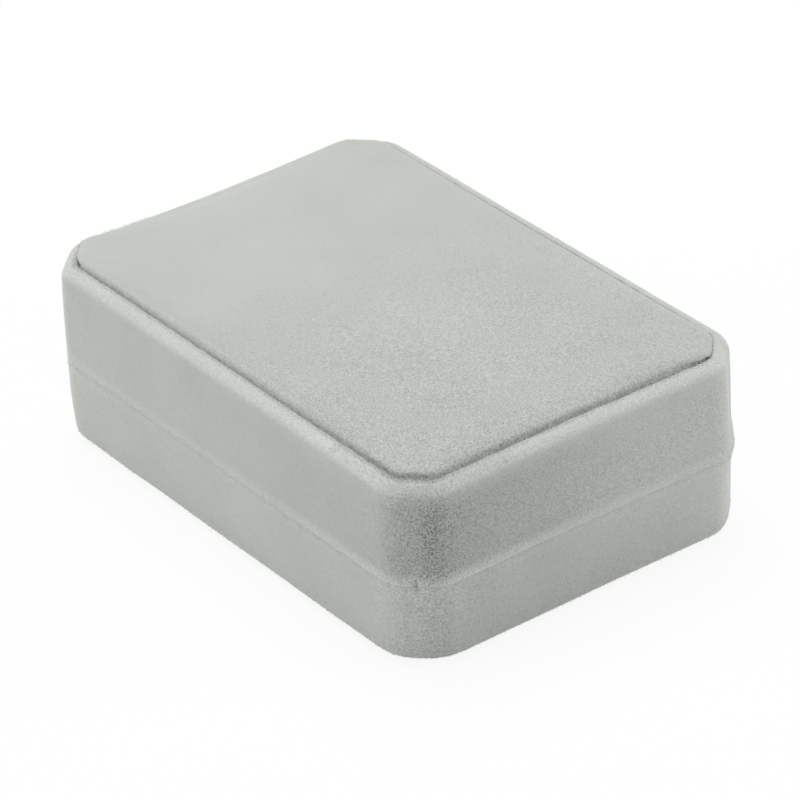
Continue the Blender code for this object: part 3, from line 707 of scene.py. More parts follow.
def edge_roll(edge, up, inset, pale):
    """Stations of a rolled edge beside the seam, from under it out to the wall; pale is a painted highlight.
    """
    stations = []
    for step in range(ROLL_STEPS + 1):
        turn = math.pi / 2 * step / ROLL_STEPS
        sunk = inset + ROLL_DEPTH * (1.0 - math.sin(turn))
        height = edge + up * EDGE_ROLL * (1.0 - math.cos(turn))
        stations.append(Station(sunk, height, pale * (1.0 - 0.5 * smooth(step / ROLL_STEPS)), out=1.0))
    return stations


def wall(start, end, steps, belly, pale):
    """Wall stations between two (inset, height) points, with a slight belly and a painted highlight at the
    start.
    """
    stations = []
    for step in range(1, steps):
        share = step / steps
        inset = start[0] + (end[0] - start[0]) * share - belly * math.sin(math.pi * share)
        height = start[1] + (end[1] - start[1]) * share
        stations.append(Station(inset, height, pale * 0.5 * (1.0 - smooth(step / 2.0)), out=1.0))
    return stations


print("hinge cloth lies", COVER_HALF / MM, "mm to each side")

# %% Lid wrap
RIM_RADIUS = 3.2 * MM
GROOVE_ROLL = 0.3 * MM
RECESS_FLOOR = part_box("lid_top_board")[0].z
RIM_CENTRE = (DRAFT + RIM_RADIUS, RIM_TOP - RIM_RADIUS)
RIM_STEPS = 14
GROOVE = RIM_CENTRE[0] + GROOVE_ROLL
LID_DRAWN_IN = 0.25 * MM
LID_BELLY = 0.1 * MM
# Painted highlight on rolled edges and painted sheen on the rim.
EDGE_HIGHLIGHT = 0.48
RIM_SHEEN = 0.6
RIM_CLEAR = 1.2 * MM
FADE_ABOVE_SEAM = 3.0 * MM
FADE_BELOW_RIM = 4.5 * MM


def lid_pile(point, station):
    """The lid's pile: open at the corners, with painted sheen on the rim and painted shade on the walls."""
    near = corner_share(point)
    front = toward_front(point)
    right_wall = on_right(point)
    above_seam = rises(point.z, LID_EDGE, FADE_ABOVE_SEAM)
    height = above_seam * smooth((RIM_TOP - RIM_CLEAR - point.z) / FADE_BELOW_RIM)
    behind = by_wall(point.y, HALF_WIDTH, 4.0 * MM, 1.8)
    # Painted shade round the front corner and on the right wall, painted light at the right wall's far end;
    # the colour is also darker along the back.
    shade_and_light = (0.22 + 0.28 * right_wall) * front * height - far_right_light(point) + 0.26 * behind
    frayed = 0.4 + 0.5 * front + 0.3 * right_wall
    opened = 0.12 + frayed * station.pale + stretched(point) + 0.32 * right_wall * height
    # A painted highlight on the rim round the front corner, and painted shade on the walls of every corner.
    front_rim_highlight = 0.9 * station.pale * front**3
    return opened, station.pale * (1.0 - 0.3 * near) + front_rim_highlight - 0.08 * near * height - shade_and_light


rim = arc(RIM_CENTRE, RIM_RADIUS, 0.0, 90.0, RIM_STEPS)
lid_stations = [Station(TURNED_IN, LID_EDGE)] + edge_roll(LID_EDGE, 1.0, LID_DRAWN_IN, EDGE_HIGHLIGHT)
lid_stations += wall((LID_DRAWN_IN, LID_EDGE + EDGE_ROLL), rim[0], 18, LID_BELLY, EDGE_HIGHLIGHT)
# The rim's shoulder gets painted sheen, growing towards its top.
for step, (inset, height) in enumerate(rim):
    share = step / RIM_STEPS
    lid_stations.append(Station(inset, height, RIM_SHEEN * smooth((share - 0.1) * 2.2), 1.0 - share, share))
# The groove's roll keeps painted sheen; its wall and the recess floor get painted shade.
lid_stations += [
    Station(GROOVE - GROOVE_ROLL * 0.3, RIM_TOP - GROOVE_ROLL * 0.3, RIM_SHEEN * 0.9, 0.0, 1.0),
    Station(GROOVE, RIM_TOP - GROOVE_ROLL, RIM_SHEEN * 0.7, 0.0, 1.0),
    Station(GROOVE, RIM_TOP - 3.0 * GROOVE_ROLL, 0.1),
    Station(GROOVE, RECESS_FLOOR, -0.4),
    Station(GROOVE - CLOTH, RECESS_FLOOR, -0.6),
]
lid_stations += [Station(*point) for point in arc(RIM_CENTRE, RIM_RADIUS - CLOTH, 70.0, 0.0, 4)]
lid_stations += [Station(CLOTH, LID_EDGE + CLOTH), Station(TURNED_IN, LID_EDGE + CLOTH)]

lid_wrap = hoop("lid_wrap", lid_stations, velvet, wrap_shape, lid_pile)
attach(lid_wrap, "lid")
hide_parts("lid_velvet")
print("lid wrap:", len(lid_wrap.data.polygons), "faces")

# %% Base wrap
BASE_DRAWN_IN = 0.32 * MM
BASE_BELLY = 0.12 * MM
FOOT_RADIUS = 2.4 * MM
SKIN_LOW = base_low.z
TURNED_UNDER = HALF_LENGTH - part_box("bottom_panel")[1].x - CLEAR
FOOT_CENTRE = (DRAFT + FOOT_RADIUS, SKIN_LOW + FOOT_RADIUS)


def base_pile(point, station):
    """The base's pile: speckled at the corners, paler from painted light, darker at the front from painted
    shade.
    """
    near = corner_share(point)
    shade_and_light = (0.1 + 0.08 * on_right(point)) * toward_front(point) - 0.5 * far_right_light(point) - 0.06 - 0.3 * near
    opened = 0.14 + 0.3 * station.pale + 1.1 * stretched(point) + 0.15 * on_right(point)
    return opened, station.pale - shade_and_light


foot = arc(FOOT_CENTRE, FOOT_RADIUS, 0.0, -90.0, 8)
base_stations = [Station(TURNED_IN, BASE_EDGE)]
# The base's rolled edge and the start of its wall get a weaker painted highlight; the foot is a little paler.
base_stations += edge_roll(BASE_EDGE, -1.0, BASE_DRAWN_IN, EDGE_HIGHLIGHT * 0.5)
base_stations += wall((BASE_DRAWN_IN, BASE_EDGE - EDGE_ROLL), foot[0], 16, BASE_BELLY, EDGE_HIGHLIGHT * 0.4)
base_stations += [Station(inset, height, 0.1, out=1.0) for inset, height in foot]
base_stations += [Station(TURNED_UNDER, SKIN_LOW), Station(TURNED_UNDER, SKIN_LOW + CLOTH)]
base_stations += [Station(*point) for point in arc(FOOT_CENTRE, FOOT_RADIUS - CLOTH, -90.0, 0.0, 3)]
base_stations += [Station(CLOTH + DRAFT, BASE_EDGE - CLOTH), Station(TURNED_IN, BASE_EDGE - CLOTH)]

base_wrap = hoop("base_wrap", base_stations, velvet, wrap_shape, base_pile)
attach(base_wrap, "base")
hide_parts("base_velvet")
print("base wrap:", len(base_wrap.data.polygons), "faces")

# %% [markdown]
# ## Padded pieces
# A pad is a card with foam on it and cloth drawn over both. Cloth simulation gives it the true look: the
# shape is remeshed into even small faces, the side that is glued down is held, and air pressure swells the
# rest. The swell is held back smoothly, so that it stays a pad and not a balloon. The simulation runs here
# and its result becomes the mesh.

# %% Swelling a pad
SWELL_FRAMES = 20
SWELL_PRESSURE = 4.0
SWELL_ROOM = 0.35 * MM
HELD_DEPTH = 0.4 * MM


def applied(piece):
    """Replaces the piece's mesh by what its modifiers make of it."""
    graph = bpy.context.evaluated_depsgraph_get()
    finish = piece.data.materials[0]
    mesh = bpy.data.meshes.new_from_object(piece.evaluated_get(graph), depsgraph=graph)
    piece.modifiers.clear()
    piece.data = mesh
    mesh.materials.clear()
    mesh.materials.append(finish)
    mesh.shade_smooth()


def swell(piece, voxel, most, held_side):
    """Remeshes a pad and swells it by less than most, with its underside (-1) or its top (1) held."""
    remesh = piece.modifiers.new("even faces", "REMESH")
    remesh.mode = "VOXEL"
    remesh.voxel_size = voxel
    applied(piece)
    start = [vert.co.copy() for vert in piece.data.vertices]
    held_above = max(held_side * place.z for place in start) - HELD_DEPTH
    held = piece.vertex_groups.new(name="held")
    held.add([index for index, place in enumerate(start) if held_side * place.z > held_above], 1.0, "REPLACE")
    cloth = piece.modifiers.new("swell", "CLOTH")
    cloth.settings.use_pressure = True
    cloth.settings.uniform_pressure_force = SWELL_PRESSURE
    cloth.settings.effector_weights.gravity = 0.0
    cloth.settings.vertex_group_mass = held.name
    cloth.collision_settings.use_collision = False
    scene = bpy.context.scene
    for number in range(1, SWELL_FRAMES + 1):
        scene.frame_set(number)
    graph = bpy.context.evaluated_depsgraph_get()
    swollen = [vert.co.copy() for vert in piece.evaluated_get(graph).data.vertices]
    piece.modifiers.clear()
    scene.frame_set(1)
    for vert, before, after in zip(piece.data.vertices, start, swollen):
        gone = after - before
        vert.co = before + gone * (most / (most + gone.length))
    piece.vertex_groups.clear()
    furthest = max((after - before).length for before, after in zip(start, swollen))
    print(piece.name, "would swell by", round(furthest / MM, 2), "mm, held within", round(most / MM, 2))


def smoothed(piece):
    """Adds one subdivision for good and keeps the mesh."""
    finer = piece.modifiers.new("finer", "SUBSURF")
    finer.levels = finer.render_levels = 1
    applied(piece)


def give_pile(piece, pile):
    """Writes the two pile attributes from each point's place."""
    values = [pile(vert.co) for vert in piece.data.vertices]
    for name, number in (("open_pile", 0), ("pale_pile", 1)):
        layer = piece.data.attributes.new(name, "FLOAT", "POINT")
        layer.data.foreach_set("value", [value[number] for value in values])


CROWN_SHARES = (0.12, 0.3, 0.55, 0.8, 1.0)


def crown(inset, edge, rise, run):
    """Stations that rise from an edge to a crown, or fall where rise is below zero."""
    turns = [(share, math.sin(math.pi / 2 * share)) for share in CROWN_SHARES]
    return [Station(inset + run * share, edge + rise * up) for share, up in turns]


def rounded_side(inset, top, radius, steps):
    """Stations of a pad's rounded upper edge, from its side up to its top."""
    return [Station(*point) for point in arc((inset + radius, top - radius), radius, 0.0, 90.0, steps)]


print("ready to swell pads")

# %% [markdown]
# ## The padded top panel
# The panel sits in the recess of the lid and stands a little above the rim. Its velvet is drawn over foam, so
# the top is softly crowned, its edge is round, and the far short side is pulled in a little. On the sides
# away from the front its upper edge leans out over the rim, so less of the groove shows there. Inside it the
# foam is a piece of its own.

# %% Top panel
PANEL_INSET = HALF_LENGTH - panel_high.x
PANEL_EDGE = RIM_TOP + 1.5 * MM
PANEL_ROUND = 1.5 * MM
PANEL_CROWN = 0.5 * MM
PANEL_CROWN_RUN = 30.0 * MM
PANEL_SWELL = 0.55 * MM
PANEL_VOXEL = 1.1 * MM
PANEL_WAVES = 0.6
FAR_SIDE_DRAW = 0.15 * MM
FAR_SIDE_SINK = 0.35 * FAR_SIDE_DRAW
OVER_LEFT = 1.3 * MM
OVER_LEFT_CORNER = 1.0 * MM
OVER_BACK = 0.5 * MM
OVER_CORNER = 1.7 * MM
OVER_WIDTH = 3.5 * MM


def panel_shape(point, level, station):
    """Draws in the far short side most at its middle."""
    if point.x > 0.0:
        return Vector()
    across = max(1.0 - (point.y / HALF_WIDTH) ** 2, 0.0)
    reach = rises(-point.x, HALF_LENGTH * 0.75, HALF_LENGTH * 0.2)
    return Vector((FAR_SIDE_DRAW * across * reach, 0.0, -FAR_SIDE_SINK * across * reach))


def laid_over(place):
    """How far the panel's upper edge leans out over the rim on the sides away from the front."""
    to_right, to_back = place.x / HALF_LENGTH, place.y / HALF_WIDTH
    above = rises(place.z, RIM_TOP, 0.5 * MM)
    edge = smooth(1.0 - (inset_of(place) - PANEL_INSET) / OVER_WIDTH)
    left = rises(-to_right, 0.6, 0.3)
    left_corner = left * rises(-to_back, 0.55, 0.25)
    back_corner = rises(to_right, 0.75, 0.15) * rises(to_back, 0.6, 0.2)
    along = OVER_CORNER * back_corner - OVER_LEFT * left - OVER_LEFT_CORNER * left_corner
    return Vector((along, OVER_BACK * rises(to_back, 0.5, 0.35), 0.0)) * edge * above


def panel_pile(place):
    """The panel's pile: more open towards the front right corner and round its edge; painted light and shade.
    """
    to_right, to_back = place.x / HALF_LENGTH, place.y / HALF_WIDTH
    from_front = (Vector((HALF_LENGTH, -HALF_WIDTH)) - place.xy).length
    near_front = smooth(1.0 - from_front / (1.9 * HALF_LENGTH))
    over_edge = smooth((PANEL_EDGE - 0.2 * MM - place.z) / PANEL_ROUND)
    front_edge = rises(-to_back, 0.6, 0.2) * smooth((0.85 - to_right) / 0.2)
    # Painted shade towards the front corner and a little round the edge, painted light to the left and on the
    # front edge; the colour is also darker towards the back.
    pale = 0.15 + 0.04 * smooth(-to_right) - 0.13 * near_front - 0.13 * rises(to_back, -0.2, 1.2)
    opened = 0.04 + 0.3 * near_front + 0.4 * rises(to_right, -0.5, 1.0) + 0.2 * over_edge
    return opened, pale + (0.45 * front_edge - 0.06) * over_edge


panel_top = PANEL_EDGE - SWELL_ROOM
panel_stations = [Station(PANEL_INSET, RECESS_FLOOR)] + rounded_side(PANEL_INSET, panel_top, PANEL_ROUND, 6)
panel_stations += crown(PANEL_INSET + PANEL_ROUND, panel_top, PANEL_CROWN, PANEL_CROWN_RUN)
top_panel = slab("top_panel_velvet", panel_stations, velvet, panel_shape)
swell(top_panel, PANEL_VOXEL, PANEL_SWELL, -1)
smoothed(top_panel)
for vert in top_panel.data.vertices:
    if vert.co.z > RIM_TOP:
        vert.co.z += waves(vert.co) * PANEL_WAVES
    vert.co += laid_over(vert.co)
give_pile(top_panel, panel_pile)
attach(top_panel, "lid")
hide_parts("lid_top_velvet")
heights = [vert.co.z / MM for vert in top_panel.data.vertices]
print(f"top panel: {len(top_panel.data.polygons)} faces, {min(heights):.2f} to {max(heights):.2f} mm high")

# %% [markdown]
# ## Foam under the velvet
# The foam can't be seen while its velvet is on, but it is what the panel's velvet rests on, so it stays as a
# piece. It follows the same outline, a cloth's thickness and a hair deeper.

# %% Foam piece
FOAM_ROUND = 0.9 * MM
FOAM_CROWN = 0.4 * MM
FOAM_EASE = 0.1 * MM

foam_low, foam_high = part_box("lid_top_foam")
foam_inset = HALF_LENGTH - foam_high.x
foam_edge = foam_high.z - FOAM_CROWN - FOAM_EASE
foam_stations = [Station(foam_inset, foam_low.z)] + rounded_side(foam_inset, foam_edge, FOAM_ROUND, 4)
foam_stations += crown(foam_inset + FOAM_ROUND, foam_edge, FOAM_CROWN, PANEL_CROWN_RUN)
panel_foam = slab("top_panel_foam", foam_stations, foam, panel_shape)
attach(panel_foam, "lid")
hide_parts("lid_top_foam")
print("foam:", len(panel_foam.data.polygons), "faces")

# %% [markdown]
# ## The necklace pad
# The pad lies in the base and carries the necklace. Two slits at its back edge let the chain down into the
# well below, and a round notch at the front lets a finger lift it. It is swelled whole, and the cuts are made
# after that, because a remesh would close them. This one piece stands for the pad's velvet and its foam.

# %% Necklace pad
PAD_INSET = HALF_LENGTH - insert_high.x
PAD_ROUND = 2.0 * MM
PAD_CROWN = 0.7 * MM
PAD_CROWN_RUN = 20.0 * MM
PAD_SWELL = 0.5 * MM
PAD_VOXEL = 1.3 * MM
PAD_EDGE = insert_high.z - 0.8 * MM
SLIT_SPREAD = 56.0 * MM
SLIT_WIDTH = 1.6 * MM
SLIT_LENGTH = 13.0 * MM
NOTCH_RADIUS = 8.0 * MM
PAST = 2.0 * MM
CREASE = math.radians(50.0)


def cut_from(piece, cutters):
    """Cuts a bmesh out of the piece and keeps the result."""
    mesh = bpy.data.meshes.new("cuts")
    cutters.to_mesh(mesh)
    cutters.free()
    tool = bpy.data.objects.new("cuts", mesh)
    bpy.context.scene.collection.objects.link(tool)
    modifier = piece.modifiers.new("cuts", "BOOLEAN")
    modifier.object = tool
    modifier.solver = "EXACT"
    applied(piece)
    bpy.data.objects.remove(tool)


def block(build, low, high):
    """Adds a box between two corners."""
    middle, size = (Vector(low) + Vector(high)) / 2, Vector(high) - Vector(low)
    bmesh.ops.create_cube(build, size=1.0, matrix=Matrix.Translation(middle) @ Matrix.Diagonal((*size, 1.0)))


def rod(build, radius, length, segments, place):
    """Adds an upright rod, moved and turned by place."""
    ends = {"radius1": radius, "radius2": radius, "depth": length}
    bmesh.ops.create_cone(build, cap_ends=True, segments=segments, matrix=place, **ends)


def pad_pile(place):
    """The pad's pile: even on top, parted at its edge and in its slits."""
    over_edge = smooth((PAD_EDGE - 0.3 * MM - place.z) / PAD_ROUND)
    beside_slit = bell(abs(abs(place.x) - SLIT_SPREAD / 2) - SLIT_WIDTH / 2, 1.2 * MM)
    at_back = rises(place.y, HALF_WIDTH - PAD_INSET - SLIT_LENGTH, 1.5 * MM)
    return 0.2 + 0.5 * over_edge + 0.4 * beside_slit * at_back, 0.05 - 0.3 * over_edge


pad_top = PAD_EDGE - SWELL_ROOM
pad_stations = [Station(PAD_INSET, insert_low.z)] + rounded_side(PAD_INSET, pad_top, PAD_ROUND, 6)
pad_stations += crown(PAD_INSET + PAD_ROUND, pad_top, PAD_CROWN, PAD_CROWN_RUN)
necklace_pad = slab("necklace_pad_velvet", pad_stations, velvet)
swell(necklace_pad, PAD_VOXEL, PAD_SWELL, -1)
smoothed(necklace_pad)
cuts = bmesh.new()
pad_back = HALF_WIDTH - PAD_INSET
for slit_x in (-SLIT_SPREAD / 2, SLIT_SPREAD / 2):
    low = (slit_x - SLIT_WIDTH / 2, pad_back - SLIT_LENGTH, insert_low.z - PAST)
    block(cuts, low, (slit_x + SLIT_WIDTH / 2, pad_back + PAST, insert_high.z + PAST))
notch = Matrix.Translation((0.0, -pad_back, (insert_low.z + insert_high.z) / 2))
rod(cuts, NOTCH_RADIUS, insert_high.z - insert_low.z + 2 * PAST, 48, notch)
cut_from(necklace_pad, cuts)
necklace_pad.data.set_sharp_from_angle(angle=CREASE)
give_pile(necklace_pad, pad_pile)
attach(necklace_pad, "pad")
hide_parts("pad_velvet", "pad_foam")
print("necklace pad:", len(necklace_pad.data.polygons), "faces")

# %% [markdown]
# ## The satin cushion in the lid
# The cushion under the lid's ceiling keeps the necklace still. Satin is drawn over wadding and glued behind
# the card, so it is tight in the middle and gathers in short puckers along its edge. The swell gives the
# first, and a wave that runs along the edge and dies out inwards gives the second.

# %% Satin cushion
CUSHION_FULL = 0.6 * MM
CUSHION_INSET = HALF_LENGTH - cushion_high.x - CUSHION_FULL
CUSHION_EDGE = 2.0 * MM
CUSHION_CROWN = 1.2 * MM
CUSHION_CROWN_RUN = 22.0 * MM
CUSHION_SWELL = 0.7 * MM
CUSHION_VOXEL = 1.3 * MM
PUCKER_SPACING = 5.5 * MM
PUCKER_DEPTH = 0.32 * MM
PUCKER_REACH = 7.0 * MM
PUCKER_DRIFT = 14.0 * MM
PUCKER_SHIFT = 2.2


def pucker(place, inset):
    """How deep a pucker is at a place, from its distance to the nearest edge and its place along it."""
    from_long = HALF_WIDTH - inset - abs(place.y)
    from_short = HALF_LENGTH - inset - abs(place.x)
    along = place.x if from_long < from_short else place.y
    off = max(min(from_long, from_short), 0.0)
    shift = noise.noise(Vector((place.x, place.y, 0.0)) / PUCKER_DRIFT) * PUCKER_SHIFT
    fold = abs(math.sin(math.pi * along / PUCKER_SPACING + shift))
    return PUCKER_DEPTH * (1.0 - fold) ** 1.5 * math.exp(-off / PUCKER_REACH) * smooth(off / MM)


edge_radius = CUSHION_EDGE / 2
edge_inset = CUSHION_INSET + edge_radius
middle = cushion_high.z - edge_radius
cushion_stations = [Station(edge_inset, cushion_high.z)]
cushion_stations += [Station(*point) for point in arc((edge_inset, middle), edge_radius, 60.0, -90.0, 8)]
cushion_stations += crown(edge_inset, middle - edge_radius, -CUSHION_CROWN, CUSHION_CROWN_RUN)
cushion = slab("lid_satin_cushion", cushion_stations, satin)
swell(cushion, CUSHION_VOXEL, CUSHION_SWELL, 1)
smoothed(cushion)
for vert in cushion.data.vertices:
    if vert.co.z < middle:
        vert.co.z += pucker(vert.co, CUSHION_INSET)
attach(cushion, "lid")
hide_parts("lid_pad_satin")
print("cushion:", len(cushion.data.polygons), "faces")

# %% [markdown]
# ## Geometry Nodes
# Most of the remaining pieces follow rules: a strip of cloth that arches over the hinge, flat springs that
# bow between their rivets, and thousands of pile threads. Each of these comes from a node tree with named
# inputs. These helpers make a tree, run it and keep the result as a plain mesh.

# %% Running a geometry tree
def new_tree(name, **inputs):
    """A geometry tree with named inputs, given as (socket type, value); returns it and its sockets."""
    tree = bpy.data.node_groups.new(name, "GeometryNodeTree")
    tree.interface.new_socket(name="Geometry", in_out="OUTPUT", socket_type="NodeSocketGeometry")
    for label, (kind, value) in inputs.items():
        plain = label.replace("_", " ")
        made = tree.interface.new_socket(name=plain, in_out="INPUT", socket_type="NodeSocket" + kind)
        if value is not None:
            made.default_value = value
    entry = tree.nodes.new("NodeGroupInput")
    return tree, {label: Socket(tree, entry.outputs[label.replace("_", " ")]) for label in inputs}


def end_tree(tree, geometry, finish):
    """Realizes the instances, sets the material and closes the tree."""
    real = add_node(tree, "GeometryNodeRealizeInstances", Geometry=geometry)
    dressed = add_node(tree, "GeometryNodeSetMaterial", Geometry=real, Material=finish)
    leave = tree.nodes.new("NodeGroupOutput")
    tree.links.new(dressed.socket, leave.inputs["Geometry"])


def grown(name, tree, host=None, **settings):
    """Runs the tree on a host mesh with its inputs set by identifier, and keeps the result as a piece."""
    holder = bpy.data.objects.new(name + "_host", host or bpy.data.meshes.new(name + "_host"))
    bpy.context.scene.collection.objects.link(holder)
    modifier = holder.modifiers.new("tree", "NODES")
    modifier.node_group = tree
    for item in tree.interface.items_tree:
        label = item.name.replace(" ", "_")
        if item.in_out == "INPUT" and label in settings:
            modifier[item.identifier] = settings[label]
    graph = bpy.context.evaluated_depsgraph_get()
    mesh = bpy.data.meshes.new_from_object(holder.evaluated_get(graph), depsgraph=graph)
    holder.modifiers.clear()
    bpy.data.objects.remove(holder)
    mesh.name = name
    mesh.materials.clear()
    mesh.materials.append(settings["Finish"])
    mesh.polygons.foreach_set("material_index", [0] * len(mesh.polygons))
    piece = bpy.data.objects.new(name, mesh)
    bpy.context.scene.collection.objects.link(piece)
    return piece


print("ready for geometry trees")

# %% [markdown]
# ## Satin liners
# A card strip covered in satin lines each half. The base's strip stands proud of the edge, so that the lid
# closes over it. Both have a window at the back, where the hinge springs pass.

# %% Liners
LINER_CARD = 0.8 * MM
LINER_LEAN = 0.5 * MM
LINER_FOLD = 0.18 * MM
LINER_STEPS = 4
WINDOW_DEPTH = 8.0 * LINER_CARD
spring_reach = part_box("hinge_spring_right")[1]
WINDOW_HALF = spring_reach.x + CLEAR
WINDOW_RISE = spring_reach.z - PIVOT.z + CLEAR


def liner(name, node, upright, body):
    """A thin standing strip with folded edges; upright lists its (height, lean share) stations."""
    outer = HALF_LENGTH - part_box(node)[1].x
    face = [Station(outer + LINER_LEAN * lean, height) for height, lean in upright]
    back = [Station(station.inset + LINER_CARD, station.height) for station in reversed(face)]
    for run in (face, back):
        for end, toward in ((0, 1), (-1, -1)):
            tip, along = run[end], run[end + toward]
            rise = math.copysign(LINER_FOLD, along.height - tip.height)
            fold = Station(tip.inset, tip.height + rise)
            tip.inset += LINER_FOLD if run is face else -LINER_FOLD
            run.insert(1 if end == 0 else len(run) - 1, fold)
    piece = hoop(name, face + back, satin)
    window = bmesh.new()
    low = (-WINDOW_HALF, HALF_WIDTH - outer - WINDOW_DEPTH, PIVOT.z - WINDOW_RISE)
    block(window, low, (WINDOW_HALF, HALF_WIDTH, PIVOT.z + WINDOW_RISE))
    cut_from(piece, window)
    piece.data.set_sharp_from_angle(angle=CREASE)
    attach(piece, body)
    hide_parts(node)
    print(name, "made,", len(piece.data.polygons), "faces")


bottom, top = [corner.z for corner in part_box("lid_liner")]
shares = [step / LINER_STEPS for step in range(LINER_STEPS + 1)]
lid_upright = [(bottom + (top - bottom) * share, share) for share in shares]
liner("lid_liner_satin", "lid_liner", lid_upright, "lid")
bottom, top = [corner.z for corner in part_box("base_liner")]
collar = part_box("base_shell")[1].z
base_upright = [(bottom, 1.0), ((bottom + collar) / 2, 0.5), (collar, 0.0), (top, 0.0)]
liner("base_liner_satin", "base_liner", base_upright, "base")

# %% [markdown]
# ## Hinge cloth and springs
# Both are sheets that a formula bends. One tree makes a grid, stands it up along the box, and sets its depth
# from two eased shares: how far along the box a point is, and how far from the pin. The cloth bulges outwards
# over the knuckles and sits flush at its ends. The springs bow inwards.

# %% Bent sheets
COVER_SHEET = 0.6 * MM
COVER_DROOP = 0.12 * MM
RIPPLE_LENGTH = 6.25 * MM
COVER_CREASE = math.radians(60.0)
SPRING_SHEET = 0.4 * MM
SPRING_FLAT = 3.4 * MM
RIVET_HOLE = 0.95 * MM


def fades(tree, share):
    """1 at a share of 0, eased down to 0 at a share of 1."""
    return spread(tree, share, 0.0, 1.0, 1.0, 0.0, "SMOOTHSTEP")


def sheet_tree():
    """A grid that is stood up and bent; Full_Half, Fade and Rise_Half say where it bulges."""
    tree, given = new_tree(
        "bent sheet",
        Length=("Float", 0.1),
        Height=("Float", 0.007),
        Middle=("Vector", (0.0, 0.0, 0.0)),
        Bulge=("Float", 0.001),
        Full_Half=("Float", 0.03),
        Fade=("Float", 0.02),
        Rise_Half=("Float", 0.003),
        Ripple=("Float", 0.0),
        Finish=("Material", None),
    )
    size = {"Size_X": given["Length"], "Size_Y": given["Height"]}
    flat = add_node(tree, "GeometryNodeMeshGrid", Vertices_X=120, Vertices_Y=30, **size)
    place = add_node(tree, "GeometryNodeInputPosition")
    along = add_node(tree, "ShaderNodeSeparateXYZ", Vector=place)
    height = along.beside("Y")
    past = (abs(along) - given["Full_Half"]) / given["Fade"]
    bulge = given["Bulge"] * fades(tree, past) * fades(tree, abs(height / given["Rise_Half"]))
    wave = add_node(tree, "ShaderNodeTexNoise", Vector=place, Scale=1.0 / RIPPLE_LENGTH, Detail=1.0)
    depth = bulge + given["Ripple"] * (wave - 0.5) * 2.0
    stood = add_node(tree, "ShaderNodeCombineXYZ", X=along, Y=depth, Z=height)
    moved = add_node(tree, "ShaderNodeVectorMath", {"operation": "ADD"}, _0=stood, _1=given["Middle"])
    bent = add_node(tree, "GeometryNodeSetPosition", Geometry=flat, Position=moved)
    end_tree(tree, bent, given["Finish"])
    return tree


def thickened(piece, thickness):
    """Gives a sheet its thickness, half to each side, and closes its rim."""
    solid = piece.modifiers.new("thickness", "SOLIDIFY")
    solid.thickness = thickness
    solid.offset = 0.0
    solid.use_rim = True
    applied(piece)


bent_sheet = sheet_tree()
hinge_cloth = grown(
    "hinge_cloth",
    bent_sheet,
    Length=cover_high.x - cover_low.x,
    Height=cover_high.z - cover_low.z,
    Middle=(0.0, HALF_WIDTH - COVER_SHEET / 2, PIVOT.z),
    Bulge=cover_high.y - HALF_WIDTH,
    Full_Half=KNUCKLE_HALF,
    Fade=HALF_LENGTH / 5,
    Rise_Half=(cover_high.z - cover_low.z) / 2,
    Ripple=COVER_DROOP,
    Finish=velvet,
)
thickened(hinge_cloth, COVER_SHEET)
hinge_cloth.data.set_sharp_from_angle(angle=COVER_CREASE)
give_pile(hinge_cloth, lambda place: (0.2 + 0.5 * bell(place.z - PIVOT.z, 2.0 * MM), -0.05))
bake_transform(hinge_cloth)
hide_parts("hinge_cover")
print("hinge cloth:", len(hinge_cloth.data.polygons), "faces")

for label in ("left", "right"):
    low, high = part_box("hinge_spring_" + label)
    spring = grown(
        "spring_" + label,
        bent_sheet,
        Length=high.x - low.x,
        Height=high.z - low.z,
        Middle=((low.x + high.x) / 2, high.y - SPRING_SHEET / 2, PIVOT.z),
        Bulge=low.y - high.y + SPRING_SHEET,
        Full_Half=HALF_LENGTH,
        Fade=MM,
        Rise_Half=SPRING_FLAT,
        Ripple=0.0,
        Finish=steel,
    )
    thickened(spring, SPRING_SHEET)
    holes = bmesh.new()
    for half in ("base", "lid"):
        rivet_low, rivet_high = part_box(f"{half}_rivet_{label}")
        middle = (rivet_low + rivet_high) / 2
        through = Matrix.Translation((middle.x, high.y - SPRING_SHEET / 2, middle.z))
        rod(holes, RIVET_HOLE, 4.0 * SPRING_SHEET, 24, through @ Matrix.Rotation(math.pi / 2, 4, "X"))
    cut_from(spring, holes)
    spring.data.set_sharp_from_angle(angle=CREASE)
    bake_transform(spring)
    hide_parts("hinge_spring_" + label)
    print(spring.name, "made,", len(spring.data.polygons), "faces")

# %% [markdown]
# ## Loose pile threads
# Where velvet rolls over an edge its threads stand apart and can be seen one by one: on the rim, at the
# panel's edge, beside the seam and at the foot. A tree scatters thin three-sided threads over chosen faces
# there, more where the pile is open. Each thread leans its own way; its root is painted paler against the
# shadows the threads cast, and its tip carries a painted highlight. None stand over the hinge, where lid and
# base would rub them.

# %% Threads
THREAD_RADIUS = 0.045 * MM
THREAD_LEAN = math.radians(32.0)
# Painted highlight at thread tips and painted light at their roots.
TIP_HIGHLIGHT = 0.7
ROOT_PAINTED_LIGHT = 0.25
SHORTEST, LONGEST = 0.55, 1.2
LEAST_DENSE, OPEN_DENSE = 0.4, 0.8
PER_SQUARE_MM = 1.0 / MM**2
FLOAT = {"data_type": "FLOAT"}


def named(tree, name):
    """Reads a number that each point carries under a name."""
    return add_node(tree, "GeometryNodeInputNamedAttribute", FLOAT, Name=name)


def stored(tree, geometry, name, value):
    """Writes a number on every point under a name."""
    place = {"Geometry": geometry, "Name": name, "Value": value}
    return add_node(tree, "GeometryNodeStoreNamedAttribute", {**FLOAT, "domain": "POINT"}, **place)


